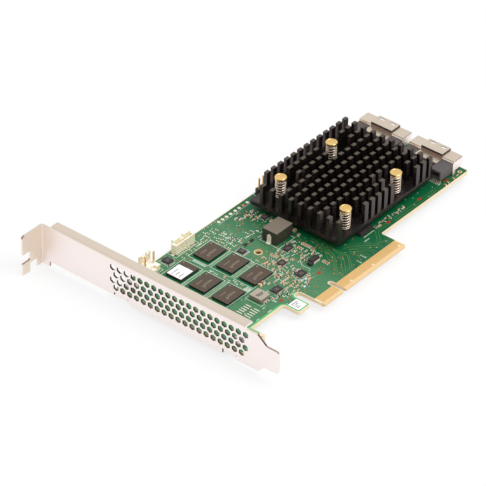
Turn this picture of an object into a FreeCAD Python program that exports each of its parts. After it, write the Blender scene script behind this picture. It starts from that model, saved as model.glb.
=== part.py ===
import FreeCAD, Part
import os
from math import cos, pi, sin, sqrt, tan, radians

# RAID controller card, millimetres.
# The origin is the centre of the key notch, on the contact edge, at the component surface.
# +X runs to the drive ports, +Y from the contacts to the top edge, +Z up from the components.

Vector = FreeCAD.Vector

# Circuit board
board_thickness = 1.57
board_left = 57.60
board_right = 98.05
board_top = 68.90
board_step = 12.20
board_corner = 1.0
ear_right = 42.9
ear_bottom = 4.30
hook_left = 23.20
hook_right = 16.10
hook_bottom = 4.40
hook_slot_top = 13.00

# Contact edge
key_half_width = 0.95
key_depth = 8.00
short_tongue_end = 12.60
long_tongue_end = 39.60
bevel_depth = 1.30
bevel_angle = 20.0
contact_pitch = 1.00
contact_width = 0.70
contact_start = 1.45
contact_end = 5.30
contact_plating = 0.05
first_contact = 1.50
short_tongue_contacts = 11
long_tongue_contacts = 38

# Board holes
tooling_hole = (-2.70, 41.50)
tooling_hole_radius = 1.25
corner_hole = (94.90, 14.40)
small_hole_radius = 0.50

# Bracket of bent steel sheet
sheet = 0.86
bend_inner = 0.40
bracket_gap = 1.04
bracket_top = 14.20
bracket_bottom = -2.90
bracket_upper_bottom = -1.95
bracket_length = 120.92
fold_height = 106.50
fold_zone = 4.80
fold_bottom = -4.22
flange_depth = 11.43
flange_prong_bottom = -4.50
screw_slot_low = 0.90
screw_slot_width = 4.42
screw_slot_depth = 4.40
prong_width = 4.35
relief_top = -0.40
relief_width = 4.20
tongue_width = 10.19
tongue_low = 0.30
tongue_start = -7.60
shoulder_start = -3.80
lip_rise = 1.00
lip_depth = 3.50
lip_start = 2.10
lip_end = 101.20

# Vent field of hexagons in the bracket
vent_pitch = 3.52
vent_flat = 2.62
vent_rows = 4
vent_columns = 20
vent_centre = (35.30, 6.55)

# Mounting tabs and their screws
tab_positions = (64.20, 9.30)
tab_width = 6.00
tab_reach = 8.20
tab_relief = 0.80
tab_relief_top = -0.60
screw_inset = 5.60
screw_radius = 1.45
screw_clearance = 0.10
screw_head_radius = 2.80
screw_head_height = 1.70
screw_tail = 0.60
screw_hole_radius = screw_radius + screw_clearance
tapped_hole_radius = screw_radius + 0.03

# Controller and heat sink
controller_centre = (44.50, 38.70)
controller_size = 31.0
substrate_height = 1.20
die_size = 14.0
die_height = 1.00
pad_height = 0.30
sink_left = 18.40
sink_right = 80.20
sink_low = 17.95
sink_high = 63.05
sink_base = 2.10
sink_pin_height = 8.90
sink_pin_x = 2.30
sink_pin_y = 1.60
sink_columns = 15
sink_rows = 10
sink_corner_gap = 2

# Spring pins that hold the heat sink
clip_span_x = 33.0
clip_span_y = 33.1
clip_head_radius = 2.50
clip_head_height = 1.00
clip_rise = 0.70
clip_shank_radius = 1.20
clip_barb_radius = 1.75
clip_barb_height = 2.60
clip_clearance = 0.15
clip_free_x = 6.30
clip_free_y = 5.00
spring_radius = 2.05
spring_wire = 0.50
spring_turns = 7
spring_steps = 6

# Drive ports
port_centres = (26.05, 52.15)
port_width = 22.90
port_mouth = 1.45
port_depth = 5.90
port_wing_top = 7.00
port_floor = 2.50
port_crown_rise = 1.10
port_crown_width = 10.80
port_sheet = 0.30
port_plate_depth = 4.20
port_plate_lip = 1.60
port_body_depth = 8.60
port_body_top = 6.00
port_body_bottom = 1.60
port_block_width = 5.90
port_block_step = 0.45
port_leads = 6
port_lead_width = 0.34
port_lead_pitch = 0.90

# Memory packages
memory_columns = (-16.00, -32.90)
memory_rows = (55.60, 43.75, 31.95)
memory_x = 10.90
memory_y = 8.00
memory_height = 1.10
memory_edge = 0.12
label_height = 0.06
memory_label_x = 7.40
memory_label_y = 7.20
hook_label_x = 5.20
hook_label_y = 5.40

# Power inductors
tall_choke = (10.20, 42.30)
tall_choke_x = 10.20
tall_choke_y = 7.40
tall_choke_height = 5.80
choke_clip_width = 2.20
choke_clip_height = 4.20
choke_clip_sheet = 0.35
choke_clip_foot = 1.30
flat_choke = (-26.00, 21.95)
flat_choke_x = 5.70
flat_choke_y = 6.20
flat_choke_height = 2.00

# Cable header with a row of leads, by the top edge
sense_left = -26.00
sense_right = -14.40
sense_front = 64.60
sense_depth = 2.60
sense_wall_height = 4.80
sense_back_rise = 1.20
sense_back_depth = 0.90
sense_leads = 10

# Friction-lock header by the bracket
lock_right = -37.00
lock_back = 69.20
lock_pins = 2
lock_pin_pitch = 5.08
lock_pin_inset = 2.90
lock_pin_top = 8.10
lock_width = 6.60
lock_depth = 5.80
lock_base_height = 2.70
lock_wall_height = 7.20
lock_wall_depth = 0.70
square_pin = 0.64
pin_tail = 1.20

# Two-pin jumper header
jumper_first_pin = (28.90, 66.95)
jumper_pitch = 2.54
jumper_base_height = 2.50
jumper_pin_top = 7.70
jumper_pins = 2

# Small flat packages: centre and size, set off from a larger part where one is named
chip_height = 0.85
clock_chip = (-31.0, 64.8, 3.3, 4.0)
memory_regulator = (-2.7, 29.6, 3.4, 2.7)
supply_monitor = (-3.3, 19.4, 4.2, 3.2)
standby_regulator = (-17.8, 20.1, 4.4, 3.2)
sensor_chip = (-6.9, 46.6, 2.6, 3.2)
switch_driver_offset = (7.1, 12.1)
switch_driver_size = (3.0, 2.4)
core_regulator_offset = (-3.5, -8.3)
core_regulator_size = (4.1, 2.6)

# Packages on lead feet
flash_memory_spot = (35.80, 18.90)
flash_memory_size = (7.80, 4.20)
flash_memory_height = 1.50
level_shifter_spot = (-43.40, 22.90)
level_shifter_size = (4.00, 7.20)
level_shifter_height = 1.30
body_standoff = 0.12
lead_sheet = 0.20
lead_width = 0.40
lead_length = 1.20
lead_inset = 0.50

# Diodes with folded metal ends
power_diode_offset = (-4.0, -21.4)
power_diode_size = (4.90, 2.60, 1.90)
power_diode_cap = 0.45
signal_diode_spots = ((-2.60, 48.50), (1.30, 48.50))
signal_diode_size = (2.00, 1.00, 0.80)
signal_diode_cap = 0.35
cap_share = 0.62

# Chip capacitors: case sizes, then spots and rows as first spot, step and count
small_case = (1.30, 0.50, 0.50)
medium_case = (1.10, 0.85, 0.60)
large_case = (1.30, 1.30, 0.90)
choke_small_rows = (
    ((3.00, -10.50), (0, -0.82), 6),
    ((-0.10, -10.90), (0, -1.00), 3),
    ((-1.00, -24.10), (0, -0.90), 4),
)
choke_medium_spots = (
    (-9.90, -11.10), (-5.00, -16.50), (-3.10, -16.60), (0.10, -17.80), (0.10, -19.30),
    (1.00, -21.30),
)
choke_large_spots = ((6.70, 8.30), (7.80, -2.70))
hole_small_rows = (((2.05, -4.90), (0, -0.80), 5),)
hole_medium_spots = (
    (-4.20, -7.10), (-2.60, -7.10), (-1.30, -8.50), (-3.90, -8.60), (-5.40, -11.90),
    (-5.40, -13.50), (-3.50, -17.60),
)
hook_medium_rows = (
    ((6.75, 14.10), (1.45, 0), 4),
    ((5.45, 10.20), (2.10, 0), 3),
)
hook_medium_spots = ((3.05, 17.40), (5.35, 16.30), (8.35, 18.30))
hook_large_spots = ((0.05, 19.50), (2.05, 19.50))
memory_gap_spot = (-24.50, 40.80)

# Chip resistors: one case size
resistor_case = (1.00, 0.50, 0.35)
choke_resistor_spots = ((-3.30, -13.20), (-1.70, -13.40), (-1.70, -14.50), (-3.20, -18.40))
hole_resistor_spots = (
    (0.10, -5.90), (0.10, -6.90), (-1.40, -16.90), (-5.40, -18.70), (-3.90, -18.90),
    (-5.20, -26.90), (-2.50, -26.60), (1.30, -27.10),
)
hole_resistor_rows = (
    ((1.50, 13.90), (-1.50, 0), 3),
    ((2.10, 11.90), (-1.60, 0), 3),
)
choke_resistor_rows = (((5.00, 16.70), (1.20, 0), 4),)
flat_choke_resistor_rows = (((-1.40, -3.85), (1.50, 0), 3),)
top_resistor_rows = (((2.30, -1.30), (-2.20, 0), 4),)
top_resistor_spots = ((10.30, -6.30), (-33.30, -6.50), (-9.20, -2.40))

# Indicator lamps near the contact edge
lamp_case = (1.10, 0.60, 0.45)
lamp_spots = ((-8.90, 13.10), (-4.60, 15.80))

# Values worked out from the sizes above
underside = -board_thickness
face_x = -(board_left + bracket_gap + sheet)
inner_face_x = face_x + sheet
bend_outer = bend_inner + sheet
flange_under = fold_height - sheet
flange_end = face_x - flange_depth
tongue_tip = fold_height - bracket_length
controller_top = substrate_height + die_height + pad_height
sink_base_top = controller_top + sink_base
sink_top = sink_base_top + sink_pin_height
clip_head_top = sink_top + clip_rise
clip_head_low = clip_head_top - clip_head_height
port_face = board_right - port_mouth
port_back = port_face - port_depth
port_body_back = port_back - port_body_depth
tab_low = underside - sheet


def box(low, high):
    size = high.sub(low)
    return Part.makeBox(size.x, size.y, size.z, low)


def block(centre, size_x, size_y, low, high):
    """Upright block on a centre point, from one height to another."""
    corner = Vector(centre[0] - size_x / 2, centre[1] - size_y / 2, low)
    return Part.makeBox(size_x, size_y, high - low, corner)


def drill(centre, radius, low, high):
    return Part.makeCylinder(radius, high - low, Vector(centre[0], centre[1], low))


def rounded_wire(corners, place):
    """Closed outline through corners given as (u, v, corner radius)."""
    points = [place(u, v) for u, v, _ in corners]
    radii = [radius for _, _, radius in corners]
    count = len(points)
    spans = []
    for i in range(count):
        here = points[i]
        back = points[i - 1].sub(here)
        ahead = points[(i + 1) % count].sub(here)
        if radii[i] == 0:
            spans.append((here, None, here))
            continue
        back.normalize()
        ahead.normalize()
        half = back.getAngle(ahead) / 2
        run = radii[i] / tan(half)
        inward = back.add(ahead)
        inward.normalize()
        centre_run = radii[i] / sin(half)
        start = here.add(back * run)
        middle = here.add(inward * (centre_run - radii[i]))
        end = here.add(ahead * run)
        spans.append((start, middle, end))
    edges = []
    for i in range(count):
        start, middle, end = spans[i]
        following = spans[(i + 1) % count][0]
        if middle is not None:
            edges.append(Part.Arc(start, middle, end).toShape())
        if end.distanceToPoint(following) > 1e-6:
            edges.append(Part.LineSegment(end, following).toShape())
    return Part.Wire(edges)


def plate(corners, place, direction):
    return Part.Face(rounded_wire(corners, place)).extrude(direction)


def fuse(shapes):
    whole = shapes[0].multiFuse(shapes[1:]) if len(shapes) > 1 else shapes[0]
    return whole.removeSplitter()


def ring_points(centre, radius, height, sides=12):
    """Corners of a regular polygon about an upright axis."""
    return [
        Vector(
            centre[0] + radius * cos(2 * pi * i / sides),
            centre[1] + radius * sin(2 * pi * i / sides),
            height,
        )
        for i in range(sides)
    ]


def faceted_rod(centre, radius, low, high, sides=12):
    points = ring_points(centre, radius, low, sides)
    face = Part.Face(Part.makePolygon(points + [points[0]]))
    return face.extrude(Vector(0, 0, high - low))


def closed_solid(faces):
    solid = Part.Solid(Part.Shell(faces))
    if solid.Volume < 0:
        solid.reverse()
    return solid


def faceted_cone(centre, low_radius, high_radius, low, high):
    lower = ring_points(centre, low_radius, low)
    upper = ring_points(centre, high_radius, high)
    outlines = [lower + [lower[0]], upper + [upper[0]]]
    for i in range(len(lower)):
        j = (i + 1) % len(lower)
        outlines.append([lower[i], lower[j], upper[j], upper[i], lower[i]])
    return closed_solid([Part.Face(Part.makePolygon(outline)) for outline in outlines])


def clip_centres():
    """The four spring pins, in a rectangle about the controller."""
    x0, y0 = controller_centre
    return [
        (x0 + sx * clip_span_x / 2, y0 + sy * clip_span_y / 2)
        for sx, sy in ((-1, 1), (1, 1), (1, -1), (-1, -1))
    ]


def screw_centres():
    return [(inner_face_x + screw_inset, y) for y in tab_positions]


def lock_pin_centres():
    middle = (lock_right - lock_width / 2, lock_back - lock_pin_inset)
    first = middle[0] - lock_pin_pitch * (lock_pins - 1) / 2
    return [(first + lock_pin_pitch * i, middle[1]) for i in range(lock_pins)]


def jumper_pin_centres():
    x0, y0 = jumper_first_pin
    return [(x0 + jumper_pitch * i, y0) for i in range(jumper_pins)]


def contact_centres():
    short = [-first_contact - contact_pitch * i for i in range(short_tongue_contacts)]
    long = [first_contact + contact_pitch * i for i in range(long_tongue_contacts)]
    return short + long


# Circuit board: one laminate with a keyed contact edge, a retention hook and an ear
def circuit_board():
    corners = [
        (-board_left, board_top, board_corner),
        (-board_left, ear_bottom, board_corner),
        (-ear_right, ear_bottom, 1.8),
        (-ear_right, board_step, 0),
        (-hook_left, board_step, 1.6),
        (-hook_left, hook_bottom, 1.0),
        (-hook_right, hook_bottom, 1.0),
        (-hook_right, hook_slot_top, 1.6),
        (-short_tongue_end, hook_slot_top, 1.6),
        (-short_tongue_end, 0, 0.6),
        (-key_half_width, 0, 0),
        (-key_half_width, key_depth, key_half_width - 0.01),
        (key_half_width, key_depth, key_half_width - 0.01),
        (key_half_width, 0, 0),
        (long_tongue_end, 0, 0.9),
        (long_tongue_end, board_step, 0.8),
        (board_right, board_step, board_corner),
        (board_right, board_top, board_corner),
    ]
    board = plate(corners, lambda u, v: Vector(u, v, underside), Vector(0, 0, board_thickness))
    holes = [drill(tooling_hole, tooling_hole_radius, underside - 1, 1)]
    holes.append(drill(corner_hole, small_hole_radius, underside - 1, 1))
    clip_hole = clip_shank_radius + clip_clearance
    for radius, spots in ((screw_hole_radius, screw_centres()), (clip_hole, clip_centres())):
        holes += [faceted_rod(spot, radius, underside - 1, 1) for spot in spots]
    pins = lock_pin_centres() + jumper_pin_centres()
    holes += [block(spot, square_pin, square_pin, underside - 1, 1) for spot in pins]
    inset = bevel_depth * tan(radians(bevel_angle))
    for level, side in ((0, -1), (underside, 1)):
        wedge = Part.makePolygon([
            Vector(-short_tongue_end - 1, -1, level - side),
            Vector(-short_tongue_end - 1, bevel_depth, level),
            Vector(-short_tongue_end - 1, 0, level + side * inset),
            Vector(-short_tongue_end - 1, -1, level + side * inset),
            Vector(-short_tongue_end - 1, -1, level - side),
        ])
        run = long_tongue_end + short_tongue_end + 2
        holes.append(Part.Face(wedge).extrude(Vector(run, 0, 0)))
    return board.cut(holes)


def edge_contacts():
    """Gold pads on both faces of the contact edge."""
    pads = []
    for x in contact_centres():
        for low in (0, underside - contact_plating):
            corner = Vector(x - contact_width / 2, contact_start, low)
            length = contact_end - contact_start
            pads.append(Part.makeBox(contact_width, length, contact_plating, corner))
    return Part.makeCompound(pads)


# Bracket: a flat face with a bent flange, a stiffening lip, two tabs and a tongue
def strip_bend(start_z, top_z, reach, upward):
    """Profile of a strip that leaves the face through a round bend, in X and Z."""
    sense = 1 if upward else -1
    centre = Vector(face_x + bend_outer, 0, top_z - sense * bend_outer)
    slant = sqrt(0.5)
    outer_mid = Vector(centre.x - bend_outer * slant, 0, centre.z + sense * bend_outer * slant)
    inner_mid = Vector(centre.x - bend_inner * slant, 0, centre.z + sense * bend_inner * slant)
    outer_a = Vector(face_x, 0, centre.z)
    outer_b = Vector(centre.x, 0, top_z)
    inner_a = Vector(inner_face_x, 0, centre.z)
    inner_b = Vector(centre.x, 0, top_z - sense * sheet)
    end_top = Vector(inner_face_x + reach, 0, top_z)
    end_low = Vector(inner_face_x + reach, 0, top_z - sense * sheet)
    foot_outer = Vector(face_x, 0, start_z)
    foot_inner = Vector(inner_face_x, 0, start_z)
    edges = [
        Part.LineSegment(foot_outer, outer_a).toShape(),
        Part.Arc(outer_a, outer_mid, outer_b).toShape(),
        Part.LineSegment(outer_b, end_top).toShape(),
        Part.LineSegment(end_top, end_low).toShape(),
        Part.LineSegment(end_low, inner_b).toShape(),
        Part.Arc(inner_b, inner_mid, inner_a).toShape(),
        Part.LineSegment(inner_a, foot_inner).toShape(),
        Part.LineSegment(foot_inner, foot_outer).toShape(),
    ]
    return Part.Face(Part.Wire(edges))


def strip(profile, start_y, length):
    shape = profile.extrude(Vector(0, length, 0))
    shape.translate(Vector(0, start_y, 0))
    return shape


def bracket_face():
    tongue_high = tongue_low + tongue_width
    shoulder_drop = bracket_top - tongue_high
    body_end = tongue_start + 3.2
    fold_start = flange_under - bend_inner
    corners = [
        (fold_start, bracket_top, 0),
        (shoulder_start, bracket_top, 0),
        (shoulder_start - 1.25 * shoulder_drop, tongue_high, 1.2),
        (tongue_tip, tongue_high, 1.4),
        (tongue_tip, tongue_low, 1.2),
        (tongue_start, tongue_low, 0.8),
        (body_end, bracket_bottom, 0.9),
        (tab_positions[0], bracket_bottom, 0),
        (tab_positions[0], bracket_upper_bottom, 0),
        (fold_height - fold_zone, bracket_upper_bottom, 0),
        (fold_height - fold_zone, fold_bottom, 0),
        (fold_start, fold_bottom, 0),
    ]
    return plate(corners, lambda y, z: Vector(face_x, y, z), Vector(sheet, 0, 0))


def fold_bend():
    """Quarter turn between the face and the flange."""
    centre = Vector(face_x - bend_inner, flange_under - bend_inner, fold_bottom)
    slant = sqrt(0.5)
    inner_a = centre.add(Vector(bend_inner, 0, 0))
    inner_mid = centre.add(Vector(bend_inner * slant, bend_inner * slant, 0))
    inner_b = centre.add(Vector(0, bend_inner, 0))
    outer_a = centre.add(Vector(bend_outer, 0, 0))
    outer_mid = centre.add(Vector(bend_outer * slant, bend_outer * slant, 0))
    outer_b = centre.add(Vector(0, bend_outer, 0))
    edges = [
        Part.Arc(inner_a, inner_mid, inner_b).toShape(),
        Part.LineSegment(inner_b, outer_b).toShape(),
        Part.Arc(outer_b, outer_mid, outer_a).toShape(),
        Part.LineSegment(outer_a, inner_a).toShape(),
    ]
    return Part.Face(Part.Wire(edges)).extrude(Vector(0, 0, bracket_top - fold_bottom))


def bracket_flange():
    start = face_x - bend_inner
    slot_end = flange_end + screw_slot_depth
    slot_high = screw_slot_low + screw_slot_width
    prong_edge = flange_end + prong_width
    corners = [
        (start, bracket_top, 0),
        (flange_end, bracket_top, 1.5),
        (flange_end, slot_high, 0),
        (slot_end, slot_high, 0.9),
        (slot_end, screw_slot_low, 0.9),
        (flange_end, screw_slot_low, 0),
        (flange_end, flange_prong_bottom, 0.6),
        (prong_edge, flange_prong_bottom, 0.6),
        (prong_edge, relief_top, 0),
        (prong_edge + relief_width, relief_top, 0),
        (prong_edge + relief_width, fold_bottom, 0),
        (start, fold_bottom, 0),
    ]
    return plate(corners, lambda x, z: Vector(x, flange_under, z), Vector(0, sheet, 0))


def vent_holes():
    """Staggered hexagons with their flats across the rows."""
    corner_radius = vent_flat / sqrt(3)
    row_pitch = vent_pitch * sqrt(3) / 2
    holes = []
    for row in range(vent_rows):
        columns = vent_columns - (row + 1) % 2
        z = vent_centre[1] + (row - (vent_rows - 1) / 2) * row_pitch
        for column in range(columns):
            y = vent_centre[0] + (column - (columns - 1) / 2) * vent_pitch
            points = [
                Vector(
                    face_x - 1,
                    y + corner_radius * sin(i * pi / 3),
                    z + corner_radius * cos(i * pi / 3),
                )
                for i in range(7)
            ]
            face = Part.Face(Part.makePolygon(points))
            holes.append(face.extrude(Vector(sheet + 2, 0, 0)))
    return holes


def io_bracket():
    face = bracket_face()
    reliefs = []
    tabs = []
    for y in tab_positions:
        half = tab_width / 2
        low = Vector(face_x - 1, y - half - tab_relief, fold_bottom - 1)
        high = Vector(inner_face_x + 1, y + half + tab_relief, tab_relief_top)
        reliefs.append(box(low, high))
        profile = strip_bend(tab_relief_top + 1, tab_low, tab_reach, False)
        tabs.append(strip(profile, y - half, tab_width))
    face = face.cut(reliefs)
    lip_profile = strip_bend(bracket_top - 1, bracket_top + lip_rise, lip_depth, True)
    lip = strip(lip_profile, lip_start, lip_end - lip_start)
    bracket = fuse([face, fold_bend(), bracket_flange(), lip] + tabs)
    holes = vent_holes()
    for spot in screw_centres():
        holes.append(faceted_rod(spot, tapped_hole_radius, tab_low - 1, underside + 0.5))
    return bracket.cut(holes)


def bracket_screws():
    """Pan-head screws down through the board into the tapped tabs."""
    screws = []
    for spot in screw_centres():
        head = faceted_rod(spot, screw_head_radius, 0, screw_head_height, 24)
        shank = faceted_rod(spot, screw_radius, tab_low - screw_tail, 0)
        screw = fuse([head, shank])
        for length_x, length_y in ((3.0, 0.6), (0.6, 3.0)):
            top = screw_head_height + 1
            slot = block(spot, length_x, length_y, screw_head_height * 0.5, top)
            screw = screw.cut(slot)
        screws.append(screw)
    return Part.makeCompound(screws)


# Controller under the heat sink
def controller_substrate():
    return block(controller_centre, controller_size, controller_size, 0, substrate_height)


def controller_die():
    return block(
        controller_centre, die_size, die_size, substrate_height, substrate_height + die_height
    )


def thermal_pad():
    low = substrate_height + die_height
    return block(controller_centre, die_size, die_size, low, low + pad_height)


# Heat sink: a base plate with a field of square pins, clear around each spring pin
def sink_pin_centres():
    first_x = sink_left + sink_pin_x / 2
    first_y = sink_high - sink_pin_y / 2
    step_x = (sink_right - sink_left - sink_pin_x) / (sink_columns - 1)
    step_y = (sink_high - sink_low - sink_pin_y) / (sink_rows - 1)
    centres = []
    for row in range(sink_rows):
        for column in range(sink_columns):
            x = first_x + column * step_x
            y = first_y - row * step_y
            if row == 0 and column < sink_corner_gap:
                continue
            near = [
                spot for spot in clip_centres()
                if abs(x - spot[0]) < clip_free_x and abs(y - spot[1]) < clip_free_y
            ]
            if not near:
                centres.append((x, y))
    return centres


def heat_sink():
    base = box(
        Vector(sink_left, sink_low, controller_top), Vector(sink_right, sink_high, sink_base_top)
    )
    pins = [
        block(spot, sink_pin_x, sink_pin_y, sink_base_top, sink_top)
        for spot in sink_pin_centres()
    ]
    sink = fuse([base] + pins)
    radius = clip_shank_radius + clip_clearance
    holes = [drill(spot, radius, controller_top - 1, sink_base_top + 1) for spot in clip_centres()]
    return sink.cut(holes)


def push_pin(spot):
    """Brass pin: round head, slim shank and a barb that catches below the board."""
    tip = underside - clip_barb_height
    head = drill(spot, clip_head_radius, clip_head_low, clip_head_top)
    shank = faceted_rod(spot, clip_shank_radius, underside, clip_head_low)
    barb = faceted_cone(spot, clip_shank_radius * 0.7, clip_barb_radius, tip, underside)
    return fuse([head, shank, barb])


def push_pins():
    """The four identical pins, one solid each."""
    return Part.makeCompound([push_pin(spot) for spot in clip_centres()])


def spring_height(turn):
    """Wire centre height after a number of turns: the end turns lie closed."""
    low = sink_base_top + spring_wire / 2
    high = clip_head_low - spring_wire / 2
    closed = spring_wire * 1.08
    if turn <= 1:
        return low + closed * turn
    if turn >= spring_turns - 1:
        return high - closed * (spring_turns - turn)
    share = (turn - 1) / (spring_turns - 2)
    return low + closed + share * (high - low - 2 * closed)


def pin_spring(spot):
    """Compression spring of square-section wire facets that follow the helix."""
    half = spring_wire / 2
    rings = []
    for step in range(spring_turns * spring_steps + 1):
        turn = step / spring_steps
        angle = 2 * pi * turn
        height = spring_height(turn)
        ring = []
        for outward, upward in ((half, 0), (0, half), (-half, 0), (0, -half)):
            radius = spring_radius + outward
            x = spot[0] + radius * cos(angle)
            y = spot[1] + radius * sin(angle)
            ring.append(Vector(x, y, height + upward))
        rings.append(ring)
    faces = []
    for lower, upper in zip(rings, rings[1:]):
        for i in range(4):
            j = (i + 1) % 4
            first = [lower[i], lower[j], upper[j], lower[i]]
            second = [lower[i], upper[j], upper[i], lower[i]]
            faces.append(Part.Face(Part.makePolygon(first)))
            faces.append(Part.Face(Part.makePolygon(second)))
    for ring in (rings[0], rings[-1]):
        faces.append(Part.Face(Part.makePolygon(ring + [ring[0]])))
    return closed_solid(faces)


# Drive ports: a folded shell over a moulded housing, facing off the rear edge
def port_outline(centre, inset):
    """Section of the shell across the board, with a raised crown."""
    half = port_width / 2 - inset
    crown = port_crown_width / 2 - inset
    low = port_floor + inset
    wing = port_wing_top - inset
    top = port_wing_top + port_crown_rise - inset
    return [
        (centre - half, low, 0),
        (centre - half, wing, 0),
        (centre - crown, wing, 0),
        (centre - crown, top, 0),
        (centre + crown, top, 0),
        (centre + crown, wing, 0),
        (centre + half, wing, 0),
        (centre + half, low, 0),
    ]


def port_shell(centre):
    outer = plate(
        port_outline(centre, 0), lambda y, z: Vector(port_back, y, z), Vector(port_depth, 0, 0)
    )
    inner = plate(
        port_outline(centre, port_sheet),
        lambda y, z: Vector(port_back - 1, y, z),
        Vector(port_depth + 2, 0, 0),
    )
    shell = outer.cut(inner)
    crown_top = port_wing_top + port_crown_rise
    slots = [
        block((port_face - 1.5, centre + side * 2.8), 1.0, 2.3, port_wing_top, crown_top + 1)
        for side in (-1, 1)
    ]
    shell = shell.cut(slots)
    half_plate = port_width / 2 - port_block_width
    plate_end = port_back - port_plate_depth
    plate_top = port_body_top - 0.1
    rear_plate = box(
        Vector(plate_end, centre - half_plate, port_body_top - port_block_step),
        Vector(port_back + port_sheet, centre + half_plate, plate_top),
    )
    rear_lip = box(
        Vector(plate_end, centre - half_plate, plate_top - port_plate_lip),
        Vector(plate_end + port_sheet, centre + half_plate, plate_top),
    )
    rear_web = box(
        Vector(port_back, centre - port_crown_width / 2, port_body_top - port_block_step),
        Vector(port_back + port_sheet, centre + port_crown_width / 2, crown_top),
    )
    legs = []
    for side in (-1, 1):
        outside = centre + side * port_width / 2
        inside = outside - side * port_sheet
        low_y, high_y = sorted((outside, inside))
        legs.append(box(
            Vector(port_back - 0.6, low_y, 0), Vector(port_back + 1.2, high_y, port_wing_top - 1)
        ))
    return fuse([shell, rear_plate, rear_lip, rear_web] + legs)


def port_housing(centre):
    """Moulded body: two hollow end blocks joined by a lower middle."""
    half = port_width / 2 - port_sheet - 0.05
    middle = port_width / 2 - port_block_width
    low = Vector(port_body_back, centre - half, port_body_bottom)
    body = box(low, Vector(port_back - 0.05, centre + half, port_body_top))
    shelf = port_back - port_plate_depth + port_sheet + 0.1
    shelf_top = port_body_top - 0.1 - port_plate_lip - 0.1
    cuts = [
        box(
            Vector(port_body_back - 1, centre - middle, port_body_top - port_block_step),
            Vector(port_back + 1, centre + middle, port_body_top + 1),
        ),
        box(
            Vector(port_body_back - 1, centre - middle, shelf_top),
            Vector(shelf, centre + middle, port_body_top + 1),
        ),
    ]
    for side in (-1, 1):
        window = centre + side * (half + middle) / 2
        wide = half - middle - 1.4
        cuts.append(box(
            Vector(port_body_back - 1, window - wide / 2, port_body_bottom + 1.3),
            Vector(port_body_back + 5, window + wide / 2, port_body_top - 1.0),
        ))
    body = body.cut(cuts)
    pegs = [
        block((port_body_back + 5, centre + side * (half - 2)), 1.6, 1.6, 0, port_body_bottom)
        for side in (-1, 1)
    ]
    return fuse([body] + pegs)


def port_contacts(centre):
    """Bent solder leads under both end blocks."""
    leads = []
    for side in (-1, 1):
        start = centre + side * (port_width / 2 - port_block_width / 2)
        for i in range(port_leads):
            y = start + (i - (port_leads - 1) / 2) * port_lead_pitch
            low = Vector(port_body_back - 0.9, y - port_lead_width / 2, 0)
            foot = box(low, Vector(port_body_back + 0.6, y + port_lead_width / 2, 0.2))
            rise_low = Vector(port_body_back + 0.4, y - port_lead_width / 2, 0)
            rise_high = Vector(port_body_back + 0.6, y + port_lead_width / 2, port_body_bottom)
            leads.append(fuse([foot, box(rise_low, rise_high)]))
    return Part.makeCompound(leads)


# Memory packages and the paper labels
def memory_chip(centre):
    package = block(centre, memory_x, memory_y, 0, memory_height)
    rim = [edge for edge in package.Edges if edge.BoundBox.ZMin > memory_height - 1e-6]
    return package.makeChamfer(memory_edge, rim)


def memory_label():
    """Paper on the bracket side of the package that stands nearest the bracket and top."""
    x = memory_columns[1] - memory_x / 2 + memory_label_x / 2 + 0.35
    low = memory_height
    return block((x, memory_rows[0]), memory_label_x, memory_label_y, low, low + label_height)


def hook_label():
    x = -(hook_left + hook_right) / 2
    y = hook_bottom + 0.95 + hook_label_y / 2
    return block((x, y), hook_label_x, hook_label_y, 0, label_height)


# Power inductors
def tall_choke_core():
    core = block(tall_choke, tall_choke_x, tall_choke_y, 0.15, tall_choke_height)
    rim = [edge for edge in core.Edges if edge.BoundBox.ZMin > tall_choke_height - 1e-6]
    return core.makeChamfer(0.2, rim)


def tall_choke_clips():
    """Tinned strips that climb both ends of the core and foot outwards on the board."""
    clips = []
    for side in (-1, 1):
        wall = tall_choke[0] + side * tall_choke_x / 2
        outside = wall + side * choke_clip_sheet
        half = choke_clip_width / 2
        profile = [
            (tall_choke[1] - half, 0, 0),
            (tall_choke[1] - half, choke_clip_height - 0.9, 0),
            (tall_choke[1] - half * 0.3, choke_clip_height, 0),
            (tall_choke[1] + half * 0.3, choke_clip_height, 0),
            (tall_choke[1] + half, choke_clip_height - 0.9, 0),
            (tall_choke[1] + half, 0, 0),
        ]
        start = min(wall, outside)
        riser = plate(profile, lambda y, z: Vector(start, y, z), Vector(choke_clip_sheet, 0, 0))
        toe = wall + side * choke_clip_foot
        low_x, high_x = sorted((wall, toe))
        foot = box(
            Vector(low_x, tall_choke[1] - half, 0),
            Vector(high_x, tall_choke[1] + half, choke_clip_sheet),
        )
        clips.append(fuse([riser, foot]))
    return Part.makeCompound(clips)


def flat_choke_core():
    core = block(flat_choke, flat_choke_x, flat_choke_y, 0.12, flat_choke_height)
    rim = [edge for edge in core.Edges if edge.BoundBox.ZMin > flat_choke_height - 1e-6]
    return core.makeChamfer(0.2, rim)


def flat_choke_pads():
    """Solder pads under two sides of the flat inductor."""
    pads = []
    for side in (-1, 1):
        y = flat_choke[1] + side * (flat_choke_y / 2 - 0.5)
        pads.append(block((flat_choke[0], y), flat_choke_x * 0.5, 1.6, 0, 0.12))
    return Part.makeCompound(pads)


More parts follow.
